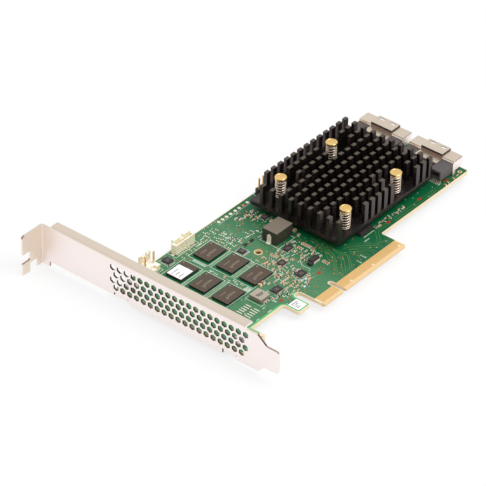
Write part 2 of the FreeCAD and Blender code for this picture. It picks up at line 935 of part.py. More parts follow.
# Cable header by the top edge
def sense_header():
    wall_top = sense_wall_height + sense_back_rise
    back = sense_front + sense_depth
    body = box(Vector(sense_left, sense_front, 0.3), Vector(sense_right, back, sense_wall_height))
    ridge = box(
        Vector(sense_left + 0.8, back - sense_back_depth, 0.3),
        Vector(sense_right - 0.8, back + 0.6, wall_top),
    )
    length = sense_right - sense_left
    notch = block(
        ((sense_left + sense_right) / 2, back), length * 0.16, 4, sense_wall_height, wall_top + 1
    )
    trough = box(
        Vector(sense_left + 0.9, sense_front + 0.6, 1.2),
        Vector(sense_right - 0.9, back - sense_back_depth - 0.1, sense_wall_height + 1),
    )
    windows = []
    for share in (0.24, 0.76):
        x = sense_left + share * length
        windows.append(block((x, back), 2.0, 4, sense_wall_height + 0.5, wall_top - 0.5))
    return fuse([body, ridge]).cut([notch, trough] + windows)


def sense_header_leads():
    """Row of bent leads along the foot of the header."""
    length = sense_right - sense_left
    pitch = (length - 2.0) / (sense_leads - 1)
    leads = []
    for i in range(sense_leads):
        x = sense_left + 1.0 + pitch * i
        leads.append(box(Vector(x - 0.22, sense_front - 1.2, 0), Vector(x + 0.22, sense_front, 0.3)))
    for x in (sense_left - 0.5, sense_right + 0.5):
        leads.append(block((x, sense_front + 1.3), 1.0, 1.5, 0, 0.3))
    return Part.makeCompound(leads)


# Friction-lock header by the bracket
def lock_header():
    left = lock_right - lock_width
    front = lock_back - lock_depth
    base = box(Vector(left, front, 0), Vector(lock_right, lock_back, lock_base_height))
    wall_front = lock_back - lock_wall_depth
    wall = box(Vector(left, wall_front, 0), Vector(lock_right, lock_back, lock_wall_height))
    hook = box(
        Vector(left + 1.2, wall_front - 0.4, lock_wall_height - 1.3),
        Vector(lock_right - 1.2, wall_front, lock_wall_height - 0.5),
    )
    gap = block(
        (left + lock_width / 2, lock_back), lock_width * 0.22, 4, lock_base_height + 1.5,
        lock_wall_height + 1,
    )
    groove = box(
        Vector(left + 2.0, front - 1, lock_base_height - 1.2),
        Vector(lock_right - 2.0, front + 1.4, lock_base_height + 1),
    )
    bores = [
        block(spot, square_pin, square_pin, -1, lock_base_height + 1) for spot in lock_pin_centres()
    ]
    return fuse([base, wall, hook]).cut([gap, groove] + bores)


def square_pins(spots, top):
    """Square posts with pyramid-cut tips that run down through the board."""
    posts = []
    for spot in spots:
        post = block(spot, square_pin, square_pin, underside - pin_tail, top)
        tips = [edge for edge in post.Edges if edge.BoundBox.ZMin > top - 1e-6]
        posts.append(post.makeChamfer(square_pin * 0.25, tips))
    return Part.makeCompound(posts)


def jumper_base():
    first, last = jumper_pin_centres()[0], jumper_pin_centres()[-1]
    centre = ((first[0] + last[0]) / 2, first[1])
    length = jumper_pitch * jumper_pins
    cells = block(centre, length, jumper_pitch, 0, jumper_base_height)
    upright = [edge for edge in cells.Edges if edge.BoundBox.ZLength > jumper_base_height - 0.01]
    cells = cells.makeChamfer(0.4, upright)
    bores = [
        block(spot, square_pin, square_pin, -1, jumper_base_height + 1)
        for spot in jumper_pin_centres()
    ]
    return cells.cut(bores)


# Small packages
def leadless_chip(package):
    """Flat package with its lands underneath, flush on the board."""
    x, y, size_x, size_y = package
    return block((x, y), size_x, size_y, 0, chip_height)


def offset_from(origin, offset):
    return (origin[0] + offset[0], origin[1] + offset[1])


def choke_side_chip(offset, size):
    """Flat package set off from the tall inductor."""
    return block(offset_from(tall_choke, offset), size[0], size[1], 0, chip_height)


def footed_chip(centre, size, height, feet_each_side, along_x):
    """Body on a row of lead feet along two sides."""
    body = block(centre, size[0], size[1], body_standoff, height)
    length, width = size if along_x else (size[1], size[0])
    pitch = (length - 2 * lead_inset) / (feet_each_side - 1)
    feet = []
    for side in (-1, 1):
        for i in range(feet_each_side):
            along = (i - (feet_each_side - 1) / 2) * pitch
            toe = side * (width / 2 + lead_length / 3)
            offset = (along, toe) if along_x else (toe, along)
            foot_size = (lead_width, lead_length) if along_x else (lead_length, lead_width)
            spot = offset_from(centre, offset)
            feet.append(block(spot, foot_size[0], foot_size[1], 0, lead_sheet))
    return fuse([body] + feet)


def end_capped(centre, size, cap):
    """Moulded body with a metal end folded under each side along X."""
    length, width, height = size
    body = block(centre, length, width, body_standoff, height)
    ends = []
    for side in (-1, 1):
        x = centre[0] + side * length / 2
        ends.append(block((x, centre[1]), cap * 2, width * cap_share, 0, height / 2))
    return fuse([body] + ends)


def signal_diodes():
    diodes = [end_capped(spot, signal_diode_size, signal_diode_cap) for spot in signal_diode_spots]
    return Part.makeCompound(diodes)


def row_spots(origin, rows):
    spots = []
    for start, step, count in rows:
        first = offset_from(origin, start)
        spots += [(first[0] + step[0] * i, first[1] + step[1] * i) for i in range(count)]
    return spots


def spots_from(origin, offsets):
    return [offset_from(origin, offset) for offset in offsets]


def chip_group(spots, case):
    return [block(spot, case[0], case[1], 0, case[2]) for spot in spots]


def ceramic_capacitors():
    """Decoupling capacitors around the regulators, in three case sizes."""
    hook = (-(hook_left + hook_right) / 2, 7.4)
    small = row_spots(tall_choke, choke_small_rows) + row_spots(tooling_hole, hole_small_rows)
    medium = spots_from(tall_choke, choke_medium_spots)
    medium += spots_from(tooling_hole, hole_medium_spots)
    medium += row_spots(hook, hook_medium_rows) + spots_from(hook, hook_medium_spots)
    medium.append(memory_gap_spot)
    large = spots_from(tall_choke, choke_large_spots) + spots_from(hook, hook_large_spots)
    parts = chip_group(small, small_case)
    parts += chip_group(medium, medium_case)
    parts += chip_group(large, large_case)
    return Part.makeCompound(parts)


def chip_resistors():
    """Small flat resistors in rows and pairs between the larger parts."""
    top = (0, board_top)
    spots = spots_from(tall_choke, choke_resistor_spots)
    spots += row_spots(tall_choke, choke_resistor_rows)
    spots += spots_from(tooling_hole, hole_resistor_spots)
    spots += row_spots(tooling_hole, hole_resistor_rows)
    spots += row_spots(flat_choke, flat_choke_resistor_rows)
    spots += row_spots(top, top_resistor_rows)
    spots += spots_from(top, top_resistor_spots)
    return Part.makeCompound(chip_group(spots, resistor_case))


def indicator_lamps():
    """Tiny clear-topped light emitters near the contact edge."""
    return Part.makeCompound(chip_group(lamp_spots, lamp_case))


def build():
    parts = {
        "circuit_board": circuit_board(),
        "edge_contacts": edge_contacts(),
        "io_bracket": io_bracket(),
        "bracket_screws": bracket_screws(),
        "controller_substrate": controller_substrate(),
        "controller_die": controller_die(),
        "thermal_pad": thermal_pad(),
        "heat_sink": heat_sink(),
        "push_pins": push_pins(),
        "memory_label": memory_label(),
        "hook_label": hook_label(),
        "tall_inductor_core": tall_choke_core(),
        "tall_inductor_clips": tall_choke_clips(),
        "flat_inductor_core": flat_choke_core(),
        "flat_inductor_pads": flat_choke_pads(),
        "sense_header": sense_header(),
        "sense_header_leads": sense_header_leads(),
        "lock_header": lock_header(),
        "lock_header_pins": square_pins(lock_pin_centres(), lock_pin_top),
        "jumper_header_base": jumper_base(),
        "jumper_header_pins": square_pins(jumper_pin_centres(), jumper_pin_top),
        "flash_memory": footed_chip(
            flash_memory_spot, flash_memory_size, flash_memory_height, 4, True
        ),
        "level_shifter": footed_chip(
            level_shifter_spot, level_shifter_size, level_shifter_height, 5, False
        ),
        "clock_chip": leadless_chip(clock_chip),
        "core_regulator": choke_side_chip(core_regulator_offset, core_regulator_size),
        "memory_regulator": leadless_chip(memory_regulator),
        "supply_monitor": leadless_chip(supply_monitor),
        "standby_regulator": leadless_chip(standby_regulator),
        "sensor_chip": leadless_chip(sensor_chip),
        "switch_driver": choke_side_chip(switch_driver_offset, switch_driver_size),
        "power_diode": end_capped(
            offset_from(tall_choke, power_diode_offset), power_diode_size, power_diode_cap
        ),
        "signal_diodes": signal_diodes(),
        "ceramic_capacitors": ceramic_capacitors(),
        "chip_resistors": chip_resistors(),
        "indicator_lamps": indicator_lamps(),
    }
    for number, spot in enumerate(clip_centres(), 1):
        parts[f"pin_spring_{number}"] = pin_spring(spot)
    for number, centre in enumerate(port_centres, 1):
        parts[f"port_shell_{number}"] = port_shell(centre)
        parts[f"port_housing_{number}"] = port_housing(centre)
        parts[f"port_contacts_{number}"] = port_contacts(centre)
    spots = [(x, y) for x in memory_columns for y in memory_rows]
    for number, spot in enumerate(spots, 1):
        parts[f"memory_chip_{number}"] = memory_chip(spot)
    return parts


os.makedirs("parts", exist_ok=True)
for name, shape in build().items():
    shape.exportStep(f"parts/{name}.step")
    print(name, len(shape.Solids), round(shape.Volume, 2), shape.isValid())
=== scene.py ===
import math
import random

import bmesh
import bpy
from bpy.props import FloatProperty, FloatVectorProperty, IntProperty, PointerProperty
from mathutils import Matrix, Vector
from mathutils.geometry import tessellate_polygon


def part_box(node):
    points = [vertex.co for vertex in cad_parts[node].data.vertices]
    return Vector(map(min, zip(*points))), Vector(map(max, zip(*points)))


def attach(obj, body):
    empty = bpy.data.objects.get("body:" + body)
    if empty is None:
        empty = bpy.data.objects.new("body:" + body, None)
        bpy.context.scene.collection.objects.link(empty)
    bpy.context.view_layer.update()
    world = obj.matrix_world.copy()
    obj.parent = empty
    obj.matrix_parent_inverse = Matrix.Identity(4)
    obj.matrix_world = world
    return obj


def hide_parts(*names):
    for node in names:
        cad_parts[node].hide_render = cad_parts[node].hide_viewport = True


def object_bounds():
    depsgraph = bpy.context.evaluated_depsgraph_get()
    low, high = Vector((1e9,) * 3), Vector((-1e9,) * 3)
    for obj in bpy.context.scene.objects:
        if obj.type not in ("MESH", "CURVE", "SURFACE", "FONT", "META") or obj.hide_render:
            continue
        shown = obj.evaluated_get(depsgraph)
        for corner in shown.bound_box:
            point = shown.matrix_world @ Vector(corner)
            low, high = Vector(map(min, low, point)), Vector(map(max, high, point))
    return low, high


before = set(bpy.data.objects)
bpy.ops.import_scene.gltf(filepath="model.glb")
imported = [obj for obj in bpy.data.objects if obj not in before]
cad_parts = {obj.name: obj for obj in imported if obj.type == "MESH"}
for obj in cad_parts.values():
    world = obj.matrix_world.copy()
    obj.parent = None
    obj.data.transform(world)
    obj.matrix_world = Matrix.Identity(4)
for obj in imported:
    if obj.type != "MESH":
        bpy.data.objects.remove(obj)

bl_info = {
    "name": "Drive controller card",
    "version": (1, 0, 0),
    "blender": (4, 5, 0),
    "location": "View3D > Sidebar > Card",
    "description": "Dresses the plug-in drive controller card piece by piece",
    "category": "Object",
}

CAD_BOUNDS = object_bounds()
MM = 0.001
SEED = 41

# How far thin forms stand above the face that carries them, mm
OVERLAY_RISE = 0.004
TRACK_RISE = 0.003
RING_RISE = 0.01
LADDER_RISE = 0.012
PAD_RISE = 0.02
BARE_RISE = 0.014
INK_HEIGHT = 0.016
MARK_RISE = 0.004
# How deep a mark on a package is rooted in it, mm
MARK_ROOT = 0.02
# Depth of the bright part of a plated wall, mm
WALL_SEEN = 0.75
# Plated holes laid out at random, the room they leave to other things and to each other, mm
SCATTERED_HOLES = 250
HOLE_ROOM = 0.45
HOLE_SPACING = 0.8
# Corner marks round a small package: distance from it and length of each arm, mm
CORNER_GAP = 0.75
CORNER_ARM = 0.9
# How strongly the floor glows where it is seen
FLOOR_GLOW = 0.78
# Leads and lands, mm: top of a bent lead's foot, height of solder lands and pitch of package lands
LEAD_FOOT = 0.4
CHIP_LAND = 0.12
PACKAGE_LAND = 0.13
LAND_PITCH = 0.65
# Spacing of the rungs between the memory outlines, mm
RUNG_PITCH = 0.62
# Steps of wire in each turn of a spring
COIL_STEPS = 28
# How much higher a contact starts that meets its spring late, mm
LATE_START = 0.9
# A cut edge of the bracket is as wide as its sheet, which is 0.86 mm thick
SHEET_LEAST, SHEET_MOST = 0.8, 0.9
# Where the bracket's lip starts, how deep its flange and the flange's cuts reach, and below
# which its edges are painted paler as light, mm
LIP_START = 12.0
FLANGE_REACH = 3.0
FLANGE_CUTS = 2.5
PALE_EDGE_BELOW = -1.9
TONGUE_START = -1.0
# A port shell's wings lie lower than its raised middle, which is open towards the housing, mm
WING_DROP = 1.1
RAISED_HALF = 5.3
# Where the key lamp aims, how far off it hangs and how wide it is, metres
LAMP_AIM = Vector((0.015, 0.035, 0.0))
LAMP_OFFSET = Vector((0.25, -0.55, 0.95))
LAMP_WIDTH = 0.6
# The camera's right and back, and its place along right, up and back from the origin, metres;
# both were fitted to the reference photograph
VIEW_RIGHT = Vector((0.633886, -0.773207, 0.018429))
VIEW_BACK = Vector((-0.633802, -0.50565, 0.585331))
VIEW_PLACE = (-0.0399108, 0.01835986, 1.40840175)


# Colours and nodes
def linear(hex_colour):
    """sRGB hex to linear RGBA."""
    channels = [int(hex_colour[i:i + 2], 16) / 255 for i in (0, 2, 4)]
    return [c / 12.92 if c <= 0.04045 else ((c + 0.055) / 1.055) ** 2.4 for c in channels] + [1.0]


def colour_prop(name, description, hex_colour):
    """A colour that a user may change."""
    return FloatVectorProperty(
        name=name, description=description, subtype="COLOR", size=4, min=0, max=1,
        default=linear(hex_colour),
    )


def length_prop(name, description, millimetres):
    """A length that a user may change."""
    return FloatProperty(
        name=name, description=description, unit="LENGTH", default=millimetres * MM, min=0,
    )


def shade(colour, factor):
    """A colour made darker or paler."""
    return [min(1.0, c * factor) for c in colour[:3]] + [1.0]


def add(tree, kind, sockets=None, **settings):
    """Adds one node with its settings, and a value or a link for each named socket."""
    node = tree.nodes.new(kind)
    for name, value in settings.items():
        setattr(node, name, value)
    for key, value in (sockets or {}).items():
        if isinstance(value, bpy.types.Node):
            value = value.outputs[0]
        if isinstance(value, bpy.types.NodeSocket):
            tree.links.new(value, node.inputs[key])
        else:
            node.inputs[key].default_value = value
    return node


def bare_tree(owner):
    """The node tree of a material or of the world, emptied."""
    owner.use_nodes = True
    owner.node_tree.nodes.clear()
    return owner.node_tree


def begin(name, **shader_values):
    """A material with its shader, and a place in millimetres to hang patterns on."""
    material = bpy.data.materials.new(name)
    tree = bare_tree(material)
    shader = add(tree, "ShaderNodeBsdfPrincipled")
    for key, value in shader_values.items():
        shader.inputs[key.replace("_", " ").title().replace("Ior", "IOR")].default_value = value
    add(tree, "ShaderNodeOutputMaterial", {"Surface": shader})
    coordinates = add(tree, "ShaderNodeTexCoord")
    place = add(
        tree, "ShaderNodeVectorMath", {0: coordinates.outputs["Object"], "Scale": 1 / MM},
        operation="SCALE",
    )
    return material, tree, shader, place


def connect(tree, shader, tone, dents, rough=None):
    """Joins the patterns of a finish to its shader."""
    tree.links.new(tone.outputs[2], shader.inputs["Base Color"])
    tree.links.new(dents.outputs[0], shader.inputs["Normal"])
    if rough:
        tree.links.new(rough.outputs[0], shader.inputs["Roughness"])


def grained(name, colour, drift_mm, drift, roughness, grain_mm, depth_mm, along=(1, 1, 1),
            **shader_values):
    """Finish whose tone wanders over drift_mm, with a grain that roughens and dents it."""
    material, tree, shader, place = begin(name, **shader_values)
    wander = add(
        tree, "ShaderNodeTexNoise", {"Vector": place, "Scale": 1 / drift_mm, "Detail": 3.0}
    )
    tone = add(
        tree, "ShaderNodeMix",
        {0: wander, 6: shade(colour, 1 - drift), 7: shade(colour, 1 + drift)}, data_type="RGBA",
    )
    stretched = add(tree, "ShaderNodeMapping", {0: place, "Scale": along})
    grain = add(
        tree, "ShaderNodeTexNoise", {"Vector": stretched, "Scale": 1 / grain_mm, "Detail": 4.0}
    )
    rough = add(
        tree, "ShaderNodeMapRange",
        {0: grain, 1: 0.3, 2: 0.7, 3: roughness * 0.85, 4: roughness * 1.15},
    )
    dents = add(tree, "ShaderNodeBump", {"Height": grain, "Distance": depth_mm * MM})
    connect(tree, shader, tone, dents, rough)
    return material


# Materials
def solder_mask(colours):
    """Epoxy solder mask, screened over copper: satin green, paler where copper lies under it."""
    material, tree, shader, place = begin("solder_mask_epoxy_screened", specular_ior_level=0.35)
    axes = add(tree, "ShaderNodeSeparateXYZ", {0: place})
    # The crowded end by the bracket has more copper under the mask
    crowd = add(tree, "ShaderNodeMapRange", {0: axes.outputs[0], 1: 13.0, 2: 1.0, 3: 0.0, 4: 0.85})
    # Pours of copper meet along straight gaps, a few millimetres apart
    pours = add(
        tree, "ShaderNodeTexVoronoi", {"Vector": place, "Scale": 1 / 6.5},
        distance="MANHATTAN",
    )
    pour = add(
        tree, "ShaderNodeMapRange",
        {0: pours.outputs["Distance"], 1: 0.42, 2: 0.47, 3: 0.16, 4: 0.0},
    )
    share = add(tree, "ShaderNodeMath", {0: crowd, 1: pour}, operation="ADD", use_clamp=True)
    # The ink of the mask lies a little thicker in places
    flow = add(tree, "ShaderNodeTexNoise", {"Vector": place, "Scale": 1 / 3.2, "Detail": 3.0})
    deep, pale = [
        add(
            tree, "ShaderNodeMix",
            {0: flow, 6: shade(green, thin), 7: shade(green, thick)}, data_type="RGBA",
        )
        for green, thin, thick in (
            (colours.mask_deep, 0.88, 1.15), (colours.mask_pale, 0.78, 1.16),
        )
    ]
    tone = add(
        tree, "ShaderNodeMix", {0: share, 6: deep.outputs[2], 7: pale.outputs[2]},
        data_type="RGBA",
    )
    # The glass weave under the mask shows as a faint check
    weave = add(tree, "ShaderNodeTexNoise", {"Vector": place, "Scale": 1 / 0.4, "Detail": 1.0})
    rough = add(tree, "ShaderNodeMapRange", {0: weave, 1: 0.3, 2: 0.7, 3: 0.30, 4: 0.44})
    dents = add(tree, "ShaderNodeBump", {"Height": weave, "Distance": 0.006 * MM})
    connect(tree, shader, tone, dents, rough)
    return material


def glass_laminate(colours):
    """Glass-epoxy laminate, routed: cream edge with faint lines where the layers are pressed."""
    material, tree, shader, place = begin("glass_epoxy_laminate_routed", roughness=0.55)
    axes = add(tree, "ShaderNodeSeparateXYZ", {0: place})
    # Eight pressed layers in 1.6 mm
    layers = add(tree, "ShaderNodeMath", {0: axes.outputs[2], 1: 31.4}, operation="MULTIPLY")
    lines = add(tree, "ShaderNodeMath", {0: layers}, operation="SINE")
    line = add(tree, "ShaderNodeMapRange", {0: lines, 1: 0.7, 2: 1.0, 3: 0.0, 4: 0.3})
    fibre = add(tree, "ShaderNodeTexNoise", {"Vector": place, "Scale": 1 / 0.5, "Detail": 4.0})
    resin = add(
        tree, "ShaderNodeMix",
        {0: fibre, 6: shade(colours.laminate, 0.86), 7: shade(colours.laminate, 1.05)},
        data_type="RGBA",
    )
    tone = add(
        tree, "ShaderNodeMix",
        {0: line, 6: resin.outputs[2], 7: shade(colours.laminate, 0.62)}, data_type="RGBA",
    )
    # The ground bevel below the contacts shows clean, yellower resin
    ground = add(tree, "ShaderNodeMapRange", {0: axes.outputs[1], 1: 1.6, 2: 1.3, 3: 0.0, 4: 0.8})
    tone = add(
        tree, "ShaderNodeMix", {0: ground, 6: tone.outputs[2], 7: colours.bevel},
        data_type="RGBA",
    )
    # Mask runs over the edge that the bracket covers, and its olive is darkened there as painted
    # shade
    covered = add(
        tree, "ShaderNodeMapRange", {0: axes.outputs[0], 1: -57.2, 2: -57.5, 3: 0.0, 4: 0.85}
    )
    tone = add(
        tree, "ShaderNodeMix", {0: covered, 6: tone.outputs[2], 7: colours.covered_edge_shade},
        data_type="RGBA",
    )
    dents = add(tree, "ShaderNodeBump", {"Height": fibre, "Distance": 0.02 * MM})
    connect(tree, shader, tone, dents)
    return material


MASKED = {"specular_ior_level": 0.35}
METAL = {"metallic": 1.0}
ROLLED = {"along": (1.0, 0.06, 1.0), "metallic": 1.0}
TURNED = {"along": (1, 1, 6), "metallic": 1.0}
WAXY = {"subsurface_weight": 0.35, "subsurface_scale": 0.0015}

# Each finish takes the colour of its key: the material's name, how far and how much its tone
# drifts (mm, share), its roughness, its grain and the depth of that grain (mm), and what else
# its shader is given
FINISHES = {
    # Mask inside the memory outlines: deeper green, painted shade of the packages
    "mask_shade": ("solder_mask_over_laminate", 2.0, 0.18, 0.36, 0.4, 0.006, MASKED),
    # Mask pooled along the routed rim: brighter green where light comes through the edge
    "mask_rim": ("solder_mask_at_rim", 4.0, 0.08, 0.36, 0.4, 0.006, {}),
    # Copper tracks raise the mask: lines a shade browner than the field
    "track": ("solder_mask_over_track", 2.0, 0.12, 0.34, 0.4, 0.006, {}),
    # Wide tracks side by side: pale rungs with a little green between
    "track_pale": ("solder_mask_over_wide_track", 1.2, 0.25, 0.38, 0.3, 0.006, {}),
    # Hard gold over nickel, electroplated: soft yellow gleam with slight wipe marks
    "gold": ("hard_gold_electroplated", 2.0, 0.05, 0.36, 0.3, 0.003,
             {"along": (1.0, 0.15, 1.0), "metallic": 0.55}),
    # Bare laminate between the contacts, where no mask is printed: dull straw
    "bare": ("glass_epoxy_laminate_bare", 1.0, 0.06, 0.5, 0.3, 0.01, {}),
    # Bare copper, etched: dull red ovals
    "copper_red": ("copper_bare_etched", 0.8, 0.15, 0.5, 0.2, 0.006, {}),
    # Bare copper, oxidised: salmon dots
    "copper": ("copper_bare_oxidised", 0.8, 0.2, 0.5, 0.2, 0.006, {}),
    # Copper, plated down the wall of a hole: brown shade
    "bore": ("plated_hole_in_shade", 0.5, 0.2, 0.6, 0.2, 0.004, {}),
    # Tin solder, reflowed: pale, slightly lumpy, warm from what it mirrors
    "solder": ("tin_solder_reflowed", 0.5, 0.08, 0.36, 0.25, 0.02, {"metallic": 0.25}),
    # Screen-printed ink: flat off-white, thin enough for a little green to show
    "ink": ("epoxy_ink_screen_printed", 1.0, 0.08, 0.6, 0.3, 0.004, {}),
    # Steel sheet, cold rolled and nickel plated: pale satin with faint rolling lines
    "steel": ("steel_nickel_plated_rolled", 16.0, 0.015, 0.40, 0.5, 0.003, ROLLED),
    # The lip and the flange are folded away from the light and take a darker, warmer painted shade
    "steel_lip_shade": ("steel_nickel_plated_folded", 12.0, 0.02, 0.40, 0.5, 0.003, ROLLED),
    # Painted light on steel edges that face up or lie low, and painted shade in the ports' open
    # middle: soft brown grey
    "sheared_pale": ("steel_edge_rubbed", 2.0, 0.1, 0.5, 0.2, 0.01, {"metallic": 0.4}),
    # Steel edges, sheared: dark, with the torn grain that the punch leaves
    "sheared": ("steel_sheared_edge", 1.0, 0.2, 0.55, 0.2, 0.02, {"metallic": 0.4}),
    # Tin plated steel, stamped: warm satin with faint lines
    "shell": ("steel_tin_plated_stamped", 5.0, 0.03, 0.34, 0.4, 0.004,
              {"along": (1.0, 0.1, 1.0), "metallic": 1.0}),
    # The drawn walls of the shell face away from the light and mirror the dark body
    "shell_shade": ("steel_tin_plated_drawn_wall", 2.0, 0.1, 0.4, 0.3, 0.004, {"metallic": 0.5}),
    # Screw steel, zinc plated: cooler than the sheet
    "screw": ("steel_zinc_plated_headed", 1.5, 0.08, 0.35, 0.2, 0.01, METAL),
    # Aluminium, anodised black: dry satin with a fine saw grain across
    "anodised": ("aluminium_black_anodised", 9.0, 0.2, 0.27, 0.25, 0.002,
                 {"along": (1.0, 1.0, 0.3), "specular_ior_level": 0.75,
                  "specular_tint": linear("ffe6e6")}),
    # Pin ends are painted paler and browner: a painted sheen of the sky on the tops
    "sawn": ("aluminium_black_anodised_sawn", 3.0, 0.12, 0.5, 0.22, 0.014,
             {"along": (1.0, 0.3, 1.0)}),
    # Free-cutting brass, turned: warm and bright, with fine rings from the tool
    "brass": ("brass_turned", 2.0, 0.05, 0.27, 0.3, 0.002, TURNED),
    # The shank inside the spring: brown shade
    "brass_shade": ("brass_turned_shank", 1.0, 0.1, 0.4, 0.3, 0.006,
                    {"along": (1, 1, 6), "metallic": 0.7}),
    # Spring wire, drawn and plated: bright lines along each coil
    "wire": ("spring_wire_drawn_plated", 0.8, 0.04, 0.25, 0.15, 0.003, METAL),
    # Epoxy compound, moulded: matte brown grey with a fine grain
    "package": ("epoxy_compound_moulded", 2.5, 0.1, 0.5, 0.14, 0.012, {}),
    # Its sides, sawn: rougher, and darker as painted shade
    "package_side": ("epoxy_compound_sawn_side", 1.5, 0.15, 0.6, 0.14, 0.02, {}),
    # Epoxy compound of the small packages, moulded: matte charcoal
    "package_dark": ("epoxy_compound_moulded_dark", 1.2, 0.18, 0.42, 0.14, 0.012, {}),
    # Laser marking burns the compound a little paler
    "laser": ("epoxy_compound_laser_marked", 0.4, 0.15, 0.6, 0.12, 0.01, {}),
    # Carrier laminate under the controller: plain dark green
    "carrier": ("carrier_laminate_masked", 3.0, 0.1, 0.4, 0.4, 0.006, {}),
    # Silicon, polished: dark, near-mirror grey
    "silicon": ("silicon_polished", 4.0, 0.05, 0.16, 0.3, 0.001, {"metallic": 0.6}),
    # Silicone gap filler, pressed: soft matte grey
    "filler": ("silicone_gap_filler_pressed", 2.0, 0.06, 0.8, 0.3, 0.03, {}),
    # Paper, coated: flat white with a hint of fibre
    "paper": ("paper_coated", 3.0, 0.02, 0.62, 0.2, 0.006, {}),
    # Thermal print: plain grey bars
    "print": ("paper_thermal_printed", 0.5, 0.15, 0.6, 0.2, 0.004, {}),
    # Iron powder, pressed: grainy olive grey, with its sides painted darker as shade
    "powder": ("iron_powder_pressed_top", 1.5, 0.1, 0.6, 0.22, 0.03, {}),
    "powder_side": ("iron_powder_pressed_side", 1.5, 0.15, 0.62, 0.22, 0.03, {}),
    # The flat inductor's powder is paler and finer, with its sides painted darker as shade too
    "powder_pale": ("iron_powder_pressed_pale", 1.2, 0.1, 0.55, 0.22, 0.02, {}),
    "powder_pale_side": ("iron_powder_pressed_pale_side", 1.2, 0.1, 0.6, 0.22, 0.03, {}),
    # Nylon, glass filled and moulded: warm ivory, slightly waxy; its drafted sides are a yellower
    # painted shade
    "ivory": ("nylon_ivory_moulded", 3.0, 0.04, 0.42, 0.4, 0.008, WAXY),
    "ivory_side": ("nylon_ivory_moulded_side", 3.0, 0.04, 0.45, 0.4, 0.008, WAXY),
    # Nylon, moulded black: soft sheen
    "black": ("nylon_black_moulded", 2.0, 0.15, 0.45, 0.3, 0.01, {}),
    # Liquid crystal polymer, moulded: mauve grey with flow marks
    "polymer": ("crystal_polymer_moulded", 2.5, 0.1, 0.46, 0.3, 0.01,
                {"along": (1.0, 0.3, 1.0)}),
    # Its moulded recesses, in shade: near black
    "polymer_shade": ("crystal_polymer_in_shade", 2.0, 0.15, 0.55, 0.3, 0.01, {}),
    # Barium titanate ceramic, fired: tan, brown and grey bodies
    "ceramic_tan": ("ceramic_fired_tan", 0.6, 0.12, 0.4, 0.15, 0.006, {}),
    "ceramic_brown": ("ceramic_fired_brown", 0.6, 0.12, 0.4, 0.15, 0.006, {}),
    "ceramic_grey": ("ceramic_fired_grey", 0.6, 0.12, 0.4, 0.15, 0.006, {}),
    # Resistor glaze, fired on alumina: black top
    "glaze": ("resistor_glaze_fired", 0.5, 0.15, 0.3, 0.15, 0.006, {}),
    # Epoxy, clear cast over a lamp: glassy and pale
    "lamp": ("epoxy_clear_cast", 0.8, 0.03, 0.12, 0.3, 0.002, {"coat_weight": 0.5}),
}


class Finishes:
    """Every material, made once."""

    def __init__(self, colours):
        self.mask = solder_mask(colours)
        self.laminate = glass_laminate(colours)
        for key, (name, *pattern, extra) in FINISHES.items():
            setattr(self, key, grained(name, getattr(colours, key), *pattern, **extra))
        self.ceramics = [self.ceramic_tan, self.ceramic_brown, self.ceramic_grey]


def finishes():
    """The materials, made when the first piece asks for them."""
    if not hasattr(finishes, "made"):
        finishes.made = Finishes(bpy.context.scene.card_colours)
    return finishes.made


# Mesh helpers, in millimetres
def block(bm, low, high, material=0, bevel=0.0, segments=1):
    """Block between two corners with softened edges."""
    low, high = Vector(low), Vector(high)
    middle, size = (low + high) / 2, high - low
    verts = bmesh.ops.create_cube(bm, size=1.0)["verts"]
    for vert in verts:
        vert.co = middle + Vector(vert.co[i] * size[i] for i in range(3))
    faces = {face for vert in verts for face in vert.link_faces}
    for face in faces:
        face.material_index = material
    if bevel:
        edges = {edge for vert in verts for edge in vert.link_edges}
        bmesh.ops.bevel(
            bm, geom=list(edges), offset=bevel, segments=segments, profile=0.6,
            affect="EDGES", material=-1,
        )


def block_at(bm, centre, size, low, high, material=0, bevel=0.0, segments=1):
    """Block about a centre, between two heights."""
    (x, y), half_x, half_y = centre, size[0] / 2, size[1] / 2
    block(bm, (x - half_x, y - half_y, low), (x + half_x, y + half_y, high), material, bevel,
          segments)


def skin(bm, rings, material=0, closed=True, capped=True):
    """Joins rings of points into a skin."""
    rows = [[bm.verts.new(point) for point in ring] for ring in rings]
    count = len(rows[0])
    for lower, upper in zip(rows, rows[1:]):
        for i in range(count if closed else count - 1):
            j = (i + 1) % count
            bm.faces.new((lower[i], lower[j], upper[j], upper[i])).material_index = material
    if capped:
        bm.faces.new(list(reversed(rows[0]))).material_index = material
        bm.faces.new(rows[-1]).material_index = material


def circle(centre, radius, sides=24):
    """Points of a circle."""
    return [
        (centre[0] + radius * math.cos(2 * math.pi * i / sides),
         centre[1] + radius * math.sin(2 * math.pi * i / sides))
        for i in range(sides)
    ]


def lathe(bm, profile, centre, steps=40, material=0):
    """Turned form from (radius, height) points, from the bottom to the top."""
    skin(bm, [
        [(x, y, height) for x, y in circle(centre, radius, steps)] for radius, height in profile
    ], material)


def tube(bm, path, radius, sides=10, material=0):
    """Round wire along a path of points."""
    path = [Vector(point) for point in path]
    rings = []
    side = None
    for i, point in enumerate(path):
        ahead = path[min(i + 1, len(path) - 1)] - path[max(i - 1, 0)]
        ahead.normalize()
        if side is None:
            side = ahead.orthogonal().normalized()
        side = (side - ahead * side.dot(ahead)).normalized()
        other = ahead.cross(side)
        rings.append([
            point + side * radius * math.cos(2 * math.pi * k / sides)
            + other * radius * math.sin(2 * math.pi * k / sides)
            for k in range(sides)
        ])
    skin(bm, rings, material)


